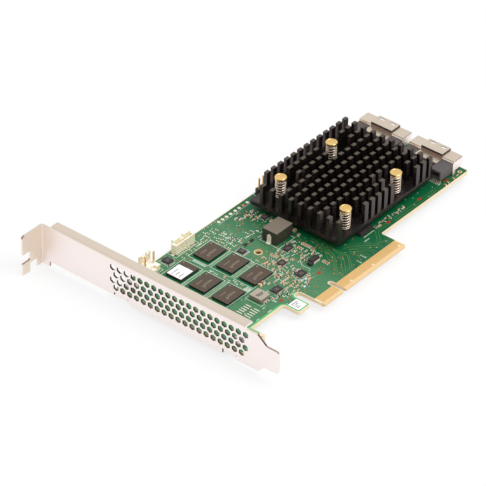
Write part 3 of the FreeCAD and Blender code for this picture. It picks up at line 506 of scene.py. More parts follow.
def plate(bm, outline, low, high, holes=(), material=0):
    """Flat plate from an outline, with holes, between two heights."""
    loops = [outline] + list(holes)
    flat = [[Vector((x, y, 0)) for x, y in loop] for loop in loops]
    points = [point for loop in loops for point in loop]
    top = [bm.verts.new((x, y, high)) for x, y in points]
    bottom = [bm.verts.new((x, y, low)) for x, y in points]
    for a, b, c in tessellate_polygon(flat):
        ring = (top[a], top[b], top[c])
        if len({a, b, c}) < 3:
            continue
        normal = (ring[1].co - ring[0].co).cross(ring[2].co - ring[0].co)
        if normal.length < 1e-12:
            continue
        order = (a, b, c) if normal.z > 0 else (c, b, a)
        bm.faces.new([top[i] for i in order]).material_index = material
        bm.faces.new([bottom[i] for i in reversed(order)]).material_index = material
    start = 0
    for loop in loops:
        count = len(loop)
        for i in range(count):
            j = (i + 1) % count
            a, b = start + i, start + j
            bm.faces.new((bottom[a], bottom[b], top[b], top[a])).material_index = material
        start += count


def beside(points, shift):
    """A line of points moved sideways, with its corners kept sharp."""
    moved = []
    for i, point in enumerate(points):
        before = (point - points[i - 1]).normalized() if i else None
        after = (points[i + 1] - point).normalized() if i + 1 < len(points) else None
        way = (before + after).normalized() if before and after else (before or after)
        across = Vector((-way.y, way.x))
        reach = shift
        if before and after:
            reach /= max(0.3, across.dot(Vector((-after.y, after.x))))
        moved.append(point + across * reach)
    return moved


def ribbon(bm, points, width, low, high, material=0):
    """Flat strip of even width along a line of points."""
    points = [Vector(point) for point in points]
    skin(bm, [
        [(a.x, a.y, low), (a.x, a.y, high), (b.x, b.y, high), (b.x, b.y, low)]
        for a, b in zip(beside(points, width / 2), beside(points, -width / 2))
    ], material)


def bundle(bm, points, count, pitch, width, low, high, material=0):
    """Parallel strips either side of a guide line."""
    guide = [Vector(point) for point in points]
    for k in range(count):
        ribbon(bm, beside(guide, (k - (count - 1) / 2) * pitch), width, low, high, material)


def ring_plate(bm, middle, inner, outer, low, high, material=0, sides=32):
    """Flat ring round a hole."""
    rows = []
    for radius, level in ((inner, low), (outer, low), (outer, high), (inner, high)):
        rows.append([bm.verts.new((x, y, level)) for x, y in circle(middle, radius, sides)])
    for k in range(4):
        first, second = rows[k], rows[(k + 1) % 4]
        for i in range(sides):
            j = (i + 1) % sides
            bm.faces.new((first[i], first[j], second[j], second[i])).material_index = material


def oval(bm, centre, size, low, high, material=0, sides=24):
    """Low oval pad."""
    skin(bm, [
        [
            (centre[0] + size[0] * (x - centre[0]), centre[1] + size[1] * (y - centre[1]), level)
            for x, y in circle(centre, 0.5, sides)
        ]
        for level in (low, high)
    ], material)


def disc(bm, x, y, radius, low, high, material=0, sides=12):
    """Low round pad."""
    oval(bm, (x, y), (2 * radius, 2 * radius), low, high, material, sides)


def frame_line(bm, x0, y0, x1, y1, width, low, high, material=0):
    """Printed rectangle made of four lines."""
    half = width / 2
    for y in (y0, y1):
        block(bm, (x0 - half, y - half, low), (x1 + half, y + half, high), material)
    for x in (x0, x1):
        block(bm, (x - half, y0 + half, low), (x + half, y1 - half, high), material)


def burnt_row(bm, chance, start, count, pitch, width, heights, top):
    """Row of plain marks burnt into a top."""
    for i in range(count):
        size = (width, chance.choice(heights))
        block_at(bm, (start[0] + i * pitch, start[1]), size, top - MARK_ROOT, top + MARK_RISE, 1)


def paint(bm, material, test):
    """Gives a material to the faces that pass a test."""
    for face in bm.faces:
        if test(face):
            face.material_index = material


def finish(name, bm, materials, replaces=(), smooth=20.0, bevel=0.0, segments=2):
    """Turns a mesh in millimetres into a piece that rides on the card."""
    if not bm.faces:
        raise RuntimeError(f"{name} has no faces")
    bmesh.ops.recalc_face_normals(bm, faces=bm.faces)
    bmesh.ops.scale(bm, vec=(MM, MM, MM), verts=bm.verts)
    mesh = bpy.data.meshes.new(name)
    bm.to_mesh(mesh)
    bm.free()
    piece = bpy.data.objects.new(name, mesh)
    bpy.context.scene.collection.objects.link(piece)
    for material in materials:
        mesh.materials.append(material)
    if bevel:
        soften = piece.modifiers.new("edges", "BEVEL")
        soften.width = bevel * MM
        soften.segments = segments
        soften.limit_method = "ANGLE"
        soften.angle_limit = math.radians(30)
        bpy.context.view_layer.update()
        shaped = bpy.data.meshes.new_from_object(
            piece.evaluated_get(bpy.context.evaluated_depsgraph_get())
        )
        piece.modifiers.clear()
        piece.data = shaped
        bpy.data.meshes.remove(mesh)
        shaped.name = name
        mesh = shaped
    mesh.polygons.foreach_set("use_smooth", [True] * len(mesh.polygons))
    mesh.set_sharp_from_angle(angle=math.radians(smooth))
    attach(piece, "root")
    if replaces:
        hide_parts(*replaces)
    return piece


def solid(node):
    """The mesh of a CAD node."""
    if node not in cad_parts:
        raise RuntimeError(f"the frame has no node {node}")
    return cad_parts[node].data


def in_millimetres(node):
    """The solid of a CAD node as an editable mesh in millimetres, with its corners joined."""
    bm = bmesh.new()
    bm.from_mesh(solid(node))
    bmesh.ops.scale(bm, vec=(1 / MM,) * 3, verts=bm.verts)
    bmesh.ops.remove_doubles(bm, verts=bm.verts, dist=0.0005)
    return bm


def from_node(node):
    """The same with its flat faces whole."""
    bm = in_millimetres(node)
    bmesh.ops.dissolve_limit(
        bm, angle_limit=math.radians(1), use_dissolve_boundaries=False,
        verts=bm.verts, edges=bm.edges,
    )
    return bm


def extents(face):
    """Size of a face's box along each axis."""
    return [
        max(vert.co[i] for vert in face.verts) - min(vert.co[i] for vert in face.verts)
        for i in range(3)
    ]


def node_box(node):
    """Low and high corner of a CAD node, in millimetres."""
    solid(node)
    low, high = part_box(node)
    return low / MM, high / MM


def islands(node):
    """Low and high corner of each separate solid of a CAD node, in millimetres."""
    bm = bmesh.new()
    bm.from_mesh(solid(node))
    bmesh.ops.remove_doubles(bm, verts=bm.verts, dist=1e-6)
    found, seen = [], set()
    for start in bm.verts:
        if start in seen:
            continue
        group, queue = [], [start]
        seen.add(start)
        while queue:
            vert = queue.pop()
            group.append(vert.co / MM)
            for edge in vert.link_edges:
                other = edge.other_vert(vert)
                if other not in seen:
                    seen.add(other)
                    queue.append(other)
        low = Vector(min(point[i] for point in group) for i in range(3))
        high = Vector(max(point[i] for point in group) for i in range(3))
        found.append((low, high))
    bm.free()
    if not found:
        raise RuntimeError(f"{node} is empty")
    return sorted(found, key=lambda corners: tuple(round(v, 3) for v in corners[0]))


def dress(node, material):
    """Gives a CAD node that keeps its shape its finish."""
    data = solid(node)
    data.materials.clear()
    data.materials.append(material)


# What a user may change
class CardColours(bpy.types.PropertyGroup):
    """Colours of the card."""

    mask_deep: colour_prop("Deep green", "Solder mask over one copper plane", "065f36")
    mask_pale: colour_prop("Pale green", "Solder mask over crowded copper", "4c845b")
    mask_shade: colour_prop("Shaded green", "Solder mask inside the memory outlines", "1d6a42")
    mask_rim: colour_prop("Rim green", "Solder mask along the routed rim", "5cb873")
    track: colour_prop("Track green", "Solder mask over fine tracks", "5d7f4a")
    track_pale: colour_prop("Wide track green", "Solder mask over tracks in rows", "a9b98c")
    laminate: colour_prop("Laminate", "Routed edge of the board", "fbe6c4")
    bevel: colour_prop("Bevel", "Ground edge below the contacts", "deb97d")
    covered_edge_shade: colour_prop("Covered edge shade", "Board edge behind the bracket", "7d7a38")
    bare: colour_prop("Bare laminate", "Laminate without mask", "e0b574")
    gold: colour_prop("Gold", "Plated contacts, rings and posts", "efc583")
    copper: colour_prop("Copper", "Bare copper dots", "cc6a44")
    copper_red: colour_prop("Dull copper", "Bare copper ovals", "9c3a18")
    bore: colour_prop("Hole shade", "Inside of plated holes", "4a3a26")
    solder: colour_prop("Solder", "Tinned pads and leads", "f6e9dc")
    ink: colour_prop("Ink", "Printed outlines", "d8e8dc")
    steel: colour_prop("Bracket steel", "Plated bracket sheet", "fdf3f0")
    steel_lip_shade: colour_prop("Lip steel in shade", "Lip and flange of the bracket", "eee0d0")
    sheared: colour_prop("Sheared edge", "Punched holes and cut edges", "55453a")
    sheared_pale: colour_prop("Pale edge", "Edges of the flange", "a88c7c")
    shell: colour_prop("Port steel", "Plated port shells", "e5d6c4")
    shell_shade: colour_prop("Port steel in shade", "Drawn walls of the shells", "4a3a30")
    screw: colour_prop("Screw steel", "Bracket screws", "c9c6c0")
    anodised: colour_prop("Anodised black", "Heat sink sides and base", "120d0c")
    sawn: colour_prop("Black top sheen", "Heat sink pin ends", "4a3f32")
    brass: colour_prop("Brass", "Push pins", "f7cf86")
    brass_shade: colour_prop("Brass in shade", "Shanks inside the springs", "3a2a1c")
    wire: colour_prop("Spring wire", "Springs", "fbe9d4")
    package: colour_prop("Package grey", "Memory packages", "514234")
    package_side: colour_prop("Package side", "Sides of the memory packages", "191414")
    package_dark: colour_prop("Package black", "Small packages", "332d2c")
    laser: colour_prop("Laser mark", "Marks burnt into packages", "95866f")
    carrier: colour_prop("Carrier green", "Controller carrier", "1d5a3c")
    silicon: colour_prop("Silicon", "Controller die", "5a5c66")
    filler: colour_prop("Gap filler", "Pad under the heat sink", "a3a3ad")
    paper: colour_prop("Paper", "Labels", "fbfbfb")
    print: colour_prop("Print", "Plain bars on labels", "77747a")
    powder: colour_prop("Powder core top", "Tall inductor", "766c5d")
    powder_side: colour_prop("Powder core side", "Tall inductor", "383529")
    powder_pale: colour_prop("Pale powder core top", "Flat inductor", "aea392")
    powder_pale_side: colour_prop("Pale powder core side", "Flat inductor", "8a826e")
    ivory: colour_prop("Ivory nylon", "Cable headers", "fffaf0")
    ivory_side: colour_prop("Ivory nylon side", "Sides of the cable headers", "fff2d0")
    black: colour_prop("Black nylon", "Jumper header", "241f1f")
    polymer: colour_prop("Grey polymer", "Port housings", "564f4f")
    polymer_shade: colour_prop("Polymer in shade", "Recesses of the port housings", "3a3132")
    ceramic_tan: colour_prop("Tan ceramic", "Chip capacitors", "c8924e")
    ceramic_brown: colour_prop("Brown ceramic", "Chip capacitors", "8f5a32")
    ceramic_grey: colour_prop("Grey ceramic", "Chip capacitors", "b5a48f")
    glaze: colour_prop("Resistor glaze", "Chip resistors", "2a2322")
    lamp: colour_prop("Lamp resin", "Indicator lamps", "dfeef4")
    floor: colour_prop("Floor", "Stage floor, as it lights the card", "f2f2f2")
    floor_seen: colour_prop("Floor in view", "Shade that the floor shows", "7a7a7a")


class CardSizes(bpy.types.PropertyGroup):
    """Sizes that have no place in the solids."""

    mask_margin: length_prop("Mask margin", "Bare strip between the mask and the edge", 0.3)
    mask_height: length_prop("Mask height", "Thickness of the solder mask", 0.02)
    track_width: length_prop("Track width", "Width of a copper track", 0.2)
    track_pitch: length_prop("Track pitch", "Spacing of tracks in a bundle", 0.62)
    via_radius: length_prop("Via radius", "Radius of a plated hole's ring", 0.3)
    line_width: length_prop("Line width", "Width of a printed line", 0.2)
    contact_width: length_prop("Contact width", "Width of a plated contact", 0.92)
    sheet_edge: length_prop("Sheet edge", "Rounding of punched sheet edges", 0.06)
    pin_edge: length_prop("Pin edge", "Rounding of heat sink pins", 0.06)
    wire_radius: length_prop("Wire radius", "Radius of the spring wire", 0.21)
    coil_turns: IntProperty(name="Coil turns", description="Turns in each spring", default=8, min=3)


class StageSettings(bpy.types.PropertyGroup):
    """Floor, light and view."""

    floor_size: length_prop("Floor size", "Width of the floor", 6000)
    key_power: FloatProperty(name="Key power", description="Watts of the key lamp", default=5.0)
    top_level: FloatProperty(
        name="Top level", description="Strength of the light from overhead", default=1.05,
    )
    side_level: FloatProperty(
        name="Side level", description="Strength of the light from the sides", default=0.35,
    )
    lens: FloatProperty(
        name="Lens", description="Focal length on a 36 mm wide sensor", default=266.4,
    )


# What lies on the component face, in millimetres
# Printed outlines round the memory packages and other parts, by their corners
MEMORY_OUTLINES = tuple(
    (x0, y0, x1, y1)
    for x0, x1 in ((-40.0, -26.0), (-22.8, -9.0))
    for y0, y1 in ((50.8, 61.0), (39.3, 49.5), (27.8, 37.5))
)
PART_OUTLINES = (
    (4.3, 36.8, 14.4, 46.6), (-29.8, 17.9, -22.3, 26.0), (-27.0, 63.6, -13.2, 68.2),
    (-44.3, 62.6, -36.2, 68.3), (-33.4, 62.0, -28.6, 67.4), (26.9, 64.9, 33.4, 68.5),
    (-9.2, 44.4, -4.7, 48.9),
)
# Rows of tracks on each face: guide line, number of tracks, and how far their pitch spreads
TRACK_RUNS = (
    (((17.2, 31.1), (14.7, 18.7), (12.9, 16.1), (5.3, 9.0)), 1, 1.0),
    (((19.3, 32.0), (16.1, 18.2), (15.1, 17.0), (5.9, 7.7)), 1, 1.0),
    (((18.3, 31.6), (15.5, 18.5), (14.2, 16.7), (5.4, 8.2)), 1, 1.0),
    (((20.0, 29.5), (17.7, 15.2), (15.7, 12.8), (9.2, 6.7)), 1, 1.0),
    (((19.4, 26.5), (17.0, 16.0), (14.6, 13.4), (7.6, 6.8)), 1, 1.0),
    (((18.9, 25.2), (18.9, 12.7), (17.3, 10.9), (13.0, 6.5)), 1, 1.0),
    (((18.6, 16.5), (18.2, 12.9), (16.6, 11.2), (11.6, 6.4)), 1, 1.0),
    (((14.4, 20.2), (11.3, 15.5), (8.3, 13.2)), 2, 2.0),
    (((20.4, 17.4), (25.0, 16.3), (31.4, 9.4), (34.5, 8.3), (37.6, 7.0)), 1, 1.0),
    (((21.9, 18.2), (26.5, 17.1), (33.1, 9.4), (37.2, 8.1)), 1, 1.0),
    (((22.5, 16.0), (26.9, 13.1), (32.9, 6.5)), 2, 2.0),
    (((21.5, 15.0), (27.6, 9.1), (27.7, 6.5)), 2, 2.0),
    (((20.7, 13.6), (23.7, 10.6), (24.1, 6.5)), 2, 2.0),
    (((48.0, 14.6), (39.4, 14.6), (34.0, 9.2)), 2, 2.0),
    (((92.0, 14.2), (50.0, 14.2)), 2, 2.2),
    (((84.0, 13.0), (84.0, 16.5)), 5, 1.0),
    (((-8.0, 38.4), (-2.0, 38.4), (2.0, 42.4)), 4, 1.0),
    (((-50.0, 52.0), (-50.0, 30.0), (-46.0, 26.0)), 5, 1.1),
    (((-22.0, 62.4), (-10.0, 62.4), (-6.0, 66.0)), 4, 0.9),
)
BACK_RUNS = (
    (((-50.0, 60.0), (-20.0, 60.0), (0.0, 40.0), (22.0, 40.0)), 12, 1.2),
    (((-46.0, 20.0), (-20.0, 20.0), (-6.0, 34.0), (20.0, 34.0)), 8, 1.2),
    (((34.0, 7.5), (34.0, 14.0), (42.0, 22.0)), 14, 1.0),
    (((62.0, 46.0), (74.0, 46.0), (82.0, 54.0), (92.0, 54.0)), 12, 1.2),
    (((62.0, 34.0), (76.0, 34.0), (82.0, 28.0), (92.0, 28.0)), 12, 1.2),
    (((14.0, 7.5), (14.0, 20.0), (26.0, 30.0)), 9, 1.2),
)
SMALL_PACKAGES = (
    "clock_chip", "core_regulator", "memory_regulator", "supply_monitor", "standby_regulator",
    "sensor_chip", "switch_driver",
)
# Contacts of the component side that meet their springs late
LATE_CONTACTS = (6.5, 20.5, 37.5)
# Open pads: the row by the top edge, the ovals, and the holes with copper or tinned rings
TOP_ROW_PADS = (2.9, 5.3, 7.8, 10.4, 13.3, 15.8, 18.3, 21.0)
OVAL_PADS = ((-21.6, 14.6), (2.2, 14.7), (47.5, 14.95), (68.5, 15.2), (86.4, 14.8))
COPPER_HOLES = (
    (-5.5, 58), (-7.5, 56.3), (-8, 52.7), (-9, 50.3), (-9.5, 53.5), (2, 61), (3.8, 62.3),
    (1.2, 62.8), (7.8, 61), (8.3, 58.3), (8.9, 59.5), (3.7, 57.4), (2.8, 56), (11.1, 54.9),
    (12, 57.5), (12.1, 53), (4.6, 52), (6.7, 51.6), (-0.7, 51.5), (14, 62.4), (14, 60.8),
    (16.2, 63.5), (16, 61.3), (6.7, 47.5), (-0.9, 46.9), (-24.8, 60.5), (-23.8, 59),
    (-23.5, 50.5), (-37.6, 61.5), (1.2, 34.2), (-6, 30.7), (3, 26.8), (3.9, 25.8), (8.6, 25.5),
    (4.5, 24.1), (0.7, 22.2), (0.7, 21.3), (-9.6, 23.2), (-4.8, 22.6), (11, 35.1), (14.2, 26.2),
    (15.3, 36.9), (17.6, 39), (11.5, 16.7), (4.1, 16.3), (0.5, 16.4), (5.6, 15), (-1.3, 25.6),
    (-7.2, 36.6), (-5.2, 36.6), (-6.2, 38.7), (0.3, 38), (-30.6, 25.5), (-14.3, 26.4),
    (-15.2, 18.6), (-15.3, 17.6), (-15.5, 15.9), (-22.7, 16.5), (-20.9, 17.1), (-19.2, 13),
    (-17.4, 13), (-13.4, 13.7), (-12.3, 13.3), (-11.9, 12.5), (-10, 12.3), (-11.2, 10.8),
    (18.5, 8.6), (20, 7.6), (21, 9), (21.2, 10.2), (21, 11.8), (42, 16.6), (29, 18.8),
    (55.5, 16.2), (-44.6, 5.6), (94.9, 14.5),
)
PALE_HOLES = (
    (16, 35.6), (17, 33.3), (18.2, 25.7), (18.3, 19.7), (30.6, 7.9), (36.5, 7.7), (29, 9.9),
    (19.8, 15.3), (15.7, 13.3), (22.1, 12.6), (24, 18.6), (64.0, 14.2), (72.5, 13.4),
    (81.7, 17), (78.7, 16.3), (75.3, 19.3), (71.5, 18.3), (67.3, 17.5),
    (64.4, 19.2), (60.3, 17.6), (59.6, 16.5),
)
# Reference marks, as plain rows of bars: start, length, and whether they run across
BAR_MARKS = (
    (-3.0, 59.3, 2.5, 0), (-1.0, 57.5, 2.0, 0), (-4.0, 57.0, 2.0, 0), (-5.5, 53.7, 2.5, 0),
    (-2.5, 52.0, 2.0, 0), (1.3, 51.5, 2.0, 0), (8.0, 51.0, 1.6, 0), (8.0, 49.3, 1.6, 0),
    (5.0, 47.9, 1.8, 0), (-16.0, 62.5, 3.5, 0), (-11.5, 64.2, 2.5, 0), (10.5, 60.7, 2.5, 0),
    (12.3, 22.8, 2.2, 1), (-8.3, 25.0, 2.0, 1), (-6.3, 16.5, 2.0, 0), (-6.5, 14.7, 2.2, 0),
    (-23.8, 15.5, 2.5, 1), (-15.4, 13.5, 1.4, 1), (-30.5, 16.5, 1.6, 0), (-38.0, 13.6, 2.0, 0),
    (-31.0, 13.6, 2.4, 0), (18.4, 6.2, 2.3, 1), (22.3, 7.0, 3.0, 1), (30.6, 13.9, 3.0, 0),
    (-52.0, 63.0, 3.0, 0), (-52.5, 44.0, 2.6, 1), (84.0, 39.1, 2.4, 0),
    (12.4, 34.0, 2.4, 1), (2.0, 30.8, 2.0, 0), (-13.4, 24.3, 2.2, 0), (-24.6, 46.5, 2.2, 1),
)
# Empty footprints: patch corners and how many pad pairs it holds
EMPTY_FOOTPRINTS = (
    (-9.0, 58.0, -1.5, 66.4, 17), (-8.6, 51.2, -2.2, 57.4, 13), (-1.8, 50.4, 8.5, 53.2, 6),
    (12.0, 55.6, 20.0, 61.4, 9), (-25.6, 61.6, -10.0, 63.4, 6), (-14.0, 37.9, -3.6, 39.0, 4),
    (1.5, 24.0, 13.5, 36.0, 12), (-14.0, 13.6, -1.0, 27.6, 14), (-25.8, 27.8, -23.4, 49.0, 5),
    (36.5, 15.9, 61.0, 17.2, 9), (-23.6, 14.0, -16.0, 18.4, 5),
)
# Small chips that stand between the larger ones: patch corners and count
LOOSE_CHIPS = (
    (-14.0, 13.4, -1.2, 27.8, 24), (-9.2, 28.0, 0.8, 37.0, 10), (0.8, 23.6, 12.6, 36.4, 16),
    (12.6, 55.4, 20.6, 61.6, 9), (37.0, 15.8, 60.5, 17.4, 12), (-24.6, 14.0, -15.6, 18.6, 6),
    (83.0, 13.1, 93.0, 13.9, 4), (16.2, 36.0, 18.0, 44.0, 2), (5.0, 60.0, 12.0, 64.4, 3),
)


def area_of(ring):
    """Area of a loop, negative where it runs clockwise."""
    return sum(
        ring[i - 1][0] * ring[i][1] - ring[i][0] * ring[i - 1][1] for i in range(len(ring))
    ) / 2


def board_outline():
    """Outer loop and hole loops of the board's component face."""
    bm = in_millimetres("circuit_board")
    top = {face for face in bm.faces if face.normal.z > 0.99}
    after = {}
    for face in top:
        for loop in face.loops:
            if not any(other in top for other in loop.edge.link_faces if other is not face):
                after[loop.vert.index] = (loop.link_loop_next.vert.index, loop.vert.co.xy.copy())
    loops = []
    while after:
        here = next(iter(after))
        ring = []
        while here in after:
            following, point = after.pop(here)
            ring.append(tuple(point))
            here = following
        loops.append(ring)
    bm.free()
    loops.sort(key=lambda ring: -abs(area_of(ring)))
    return loops[0], loops[1:]


def moved_in(ring, distance):
    """Loop moved inwards by a distance, whichever way it runs."""
    sense = 1 if area_of(ring) > 0 else -1
    clean = [
        Vector(point) for i, point in enumerate(ring)
        if (Vector(point) - Vector(ring[i - 1])).length > 0.02
    ]
    moved = []
    for i, point in enumerate(clean):
        before = (point - clean[i - 1]).normalized()
        after = (clean[(i + 1) % len(clean)] - point).normalized()
        normal = Vector((-before.y - after.y, before.x + after.x))
        if normal.length < 1e-6:
            continue
        normal.normalize()
        reach = distance / max(0.4, normal.dot(Vector((-after.y, after.x))))
        moved.append(tuple(point + normal * reach * sense))
    return moved


def mask_loops(sizes):
    """Outline and holes of the mask: kept off the edge, the holes and the contacts."""
    outer, holes = board_outline()
    inner = moved_in(outer, sizes.mask_margin / MM)
    contact_low, contact_high = node_box("edge_contacts")
    contact_line = contact_high.y + 0.15
    lifted = []
    for x, y in inner:
        if contact_low.x - 1.1 < x < contact_high.x + 1.1 and y < contact_line:
            y = contact_line
        if lifted and (Vector((x, y)) - Vector(lifted[-1])).length < 0.01:
            continue
        lifted.append((x, y))
    kept = []
    for i, point in enumerate(lifted):
        before, after = lifted[i - 1], lifted[(i + 1) % len(lifted)]
        if not point[1] == contact_line == before[1] == after[1]:
            kept.append(point)
    rims = []
    for ring in holes:
        middle = sum((Vector(point) for point in ring), Vector((0, 0))) / len(ring)
        reach = max((Vector(point) - middle).length for point in ring)
        rims.append((middle, reach))
    return outer, kept, rims


def mask_opening(reach):
    """Radius that the mask leaves open round a hole of the board."""
    return reach + (0.6 if reach > 1.0 else 0.45)


def standing_areas():
    """Footprints of everything that stands on the component face."""
    areas = []
    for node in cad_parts:
        if node in ("circuit_board", "edge_contacts", "io_bracket", "bracket_screws"):
            continue
        if node_box(node)[0].z > 3.0:
            continue
        areas += [(low.x, low.y, high.x, high.y) for low, high in islands(node)]
    low, high = node_box("heat_sink")
    areas.append((low.x, low.y, high.x, high.y))
    areas += [(x - 1.1, y - 0.7, x + 1.1, y + 0.7) for x, y in OVAL_PADS]
    return areas


def is_free(areas, x, y, reach_x, reach_y):
    """Whether a point keeps its reach from every footprint."""
    return not any(
        low_x - reach_x < x < high_x + reach_x and low_y - reach_y < y < high_y + reach_y
        for low_x, low_y, high_x, high_y in areas
    )


def inside(ring, x, y):
    """Whether a point lies inside a loop."""
    found = False
    for i, (ax, ay) in enumerate(ring):
        bx, by = ring[i - 1]
        if (ay > y) != (by > y) and x < (bx - ax) * (y - ay) / (by - ay) + ax:
            found = not found
    return found


def plated_hole(bm, x, y, radius, low, high, ring, bore):
    """Ring round a small plated hole, with the hole's shade in its middle."""
    disc(bm, x, y, radius, low, high, ring)
    disc(bm, x, y, radius * 0.36, low, high + 0.003, bore, 8)


def bar_mark(bm, chance, x, y, length, across, low, high):
    """Short row of plain printed bars."""
    for i in range(max(2, round(length / 0.46))):
        tall = chance.choice((0.4, 0.62, 0.8))
        wide = chance.choice((0.2, 0.26))
        middle = (x, y + i * 0.46) if across else (x + i * 0.46, y)
        size = (tall, wide) if across else (wide, tall)
        block_at(bm, middle, size, low, high)


class CARD_OT_board(bpy.types.Operator):
    """Laminate with its solder mask on both faces"""

    bl_idname = "card.board"
    bl_label = "Circuit board"

    def execute(self, context):
        made, sizes = finishes(), context.scene.card_sizes
        dress("circuit_board", made.laminate)
        outer, outline, rims = mask_loops(sizes)
        holes = [
            list(reversed(circle(middle, mask_opening(reach), 32))) for middle, reach in rims
        ]
        thick = sizes.mask_height / MM
        under = node_box("circuit_board")[0].z
        for name, low, high in (
            ("solder_mask_component_side", 0, thick), ("solder_mask_back", under - thick, under),
        ):
            bm = bmesh.new()
            plate(bm, outline, low, high, holes)
            finish(name, bm, [made.mask])

        top = thick + OVERLAY_RISE
        bm = bmesh.new()
        # Painted shade of the memory packages: the mask inside their outlines is a deeper green
        for x0, y0, x1, y1 in MEMORY_OUTLINES:
            block(bm, (x0, y0, 0), (x1, y1, top), 0)
        # Tracks between the memory outlines run side by side like rungs
        for y0 in (49.95, 37.95):
            for x0, x1 in ((-39.6, -26.2), (-22.6, -9.4)):
                x = x0
                while x < x1:
                    block(bm, (x, y0 + 0.1, 0), (x + 0.34, y0 + 0.9, top), 2)
                    x += RUNG_PITCH
        # Rim of pooled mask along the routed edge of the hook and the ear, left of the contacts,
        # painted a brighter green where light comes through the edge
        ring = moved_in(outer, sizes.mask_margin / MM + 0.42)
        start = max(range(len(ring)), key=lambda i: ring[i][1] + ring[i][0])
        ring = ring[start:] + ring[:start]
        run = []
        for x, y in ring + [(100.0, 70.0)]:
            if x < -12.6 and y < 14.0:
                run.append((x, y))
            elif run:
                if len(run) > 1:
                    ribbon(bm, run, 0.84, 0, top, 1)
                run = []
        # The ear's tip has no mask
        plate(bm, [(-46.2, 4.7), (-44.0, 4.7), (-43.3, 5.4), (-43.3, 7.4), (-46.2, 8.0)], 0,
              top + 0.006, material=3)
        looks = [made.mask_shade, made.mask_rim, made.track_pale, made.laminate]
        finish("mask_tones", bm, looks)
        return {"FINISHED"}


class CARD_OT_copper(bpy.types.Operator):
    """Tracks, plated holes and open pads on both faces"""

    bl_idname = "card.copper"
    bl_label = "Copper"

    def execute(self, context):
        made, sizes = finishes(), context.scene.card_sizes
        outer, _, rims = mask_loops(sizes)
        safe = moved_in(outer, 1.2)
        thick = sizes.mask_height / MM
        under = node_box("circuit_board")[0].z
        width, pitch = sizes.track_width / MM, sizes.track_pitch / MM
        areas = standing_areas()
        chance = random.Random(SEED)

        bm = bmesh.new()
        for points, count, spread in TRACK_RUNS:
            bundle(bm, points, count, pitch * spread, width, 0, thick + TRACK_RISE)
        for points, count, spread in BACK_RUNS:
            bundle(bm, points, count, pitch * spread, width, under - thick - TRACK_RISE, under)
        finish("masked_tracks", bm, [made.track])

        bm = bmesh.new()
        radius = sizes.via_radius / MM
        places = [(x, y, 0) for x, y in COPPER_HOLES] + [(x, y, 3) for x, y in PALE_HOLES]
        wanted = len(places) + SCATTERED_HOLES
        while len(places) < wanted:
            # Four in five lie in the crowded half by the bracket
            if chance.random() < 0.8:
                x, y = chance.uniform(-56, 19), chance.uniform(6.5, 67.5)
            else:
                x, y = chance.uniform(19, 97), chance.uniform(6.5, 67.5)
            if not inside(safe, x, y) or not is_free(areas, x, y, HOLE_ROOM, HOLE_ROOM):
                continue
            if any(abs(x - px) < HOLE_SPACING and abs(y - py) < HOLE_SPACING
                   for px, py, _ in places):
                continue
            if any((Vector((x, y)) - middle).length < mask_opening(reach) + 0.4
                   for middle, reach in rims):
                continue
            # Copper shows mostly towards the bracket, and tin elsewhere
            places.append((x, y, 0 if chance.random() < 0.8 and x < 24 else 3))
        face, back = thick + RING_RISE, under - thick - RING_RISE
        for x, y, kind in places:
            size = radius * (0.95 if kind == 0 else 0.72)
            plated_hole(bm, x, y, size, 0, face, kind, 1)
            plated_hole(bm, x, y, size, back, under, kind, 1)
        # Fan-out holes under the controller and the memory packages, seen from the back
        for node, step in [("controller_substrate", 1.0)] + [
            (f"memory_chip_{n}", 0.8) for n in range(1, 7)
        ]:
            low, high = node_box(node)
            y = low.y + step
            while y < high.y - step / 2:
                x = low.x + step
                while x < high.x - step / 2:
                    if chance.random() < 0.82:
                        disc(bm, x, y, 0.2, back, under, 3, 8)
                    x += step
                y += step
        for x in TOP_ROW_PADS:
            plated_hole(bm, x, 66.6, 0.75, 0, face, 0 if x == 18.3 else 3, 2)
        for spot in OVAL_PADS:
            oval(bm, spot, (2.4, 1.5), 0, face, 4)
        for middle, reach in rims:
            for low, high in (
                (0, thick + OVERLAY_RISE), (under - thick - OVERLAY_RISE, under),
            ):
                ring_plate(bm, middle, reach + 0.02, mask_opening(reach) - 0.2, low, high, 2)
            # The plated wall catches the light near the top only
            for low, high, look in ((-WALL_SEEN, 0.012, 2), (under, -WALL_SEEN, 1)):
                ring_plate(bm, middle, reach - 0.05, reach + 0.01, low, high, look)
        looks = [made.copper, made.bore, made.gold, made.solder, made.copper_red]
        finish("plated_holes", bm, looks)

        bm = bmesh.new()
        pad_top = thick + PAD_RISE
        for x0, y0, x1, y1, count in EMPTY_FOOTPRINTS:
            for _ in range(count * 3):
                x, y = chance.uniform(x0, x1), chance.uniform(y0, y1)
                if not is_free(areas, x, y, 0.9, 0.7):
                    continue
                turned = chance.random() < 0.5
                areas.append((x - 0.7, y - 0.5, x + 0.7, y + 0.5))
                for side in (-0.52, 0.52):
                    middle = (x, y + side) if turned else (x + side, y)
                    block_at(bm, middle, (0.5, 0.5), 0, pad_top)
        # Comb of bare resistor pads by the flat inductor
        for x in (-38.3, -36.9, -35.5, -34.1, -32.7):
            for y0 in (16.4, 20.6):
                block_at(bm, (x, y0 + 1.45), (0.42, 2.7), 0, pad_top)
        for x, y in ((-37.7, 19.6), (-33.9, 19.7)):
            disc(bm, x, y, 0.4, 0, pad_top, 1)
        # Ladders of plain bars between the memory outlines
        for x, y0, length, count in ((-23.75, 51.4, 1.2, 12), (-24.7, 27.8, 2.8, 5)):
            for i in range(count):
                block_at(bm, (x, y0 + i * 0.56), (length, 0.28), 0, thick + LADDER_RISE, 2)
        finish("open_pads", bm, [made.solder, made.gold, made.ink])
        return {"FINISHED"}


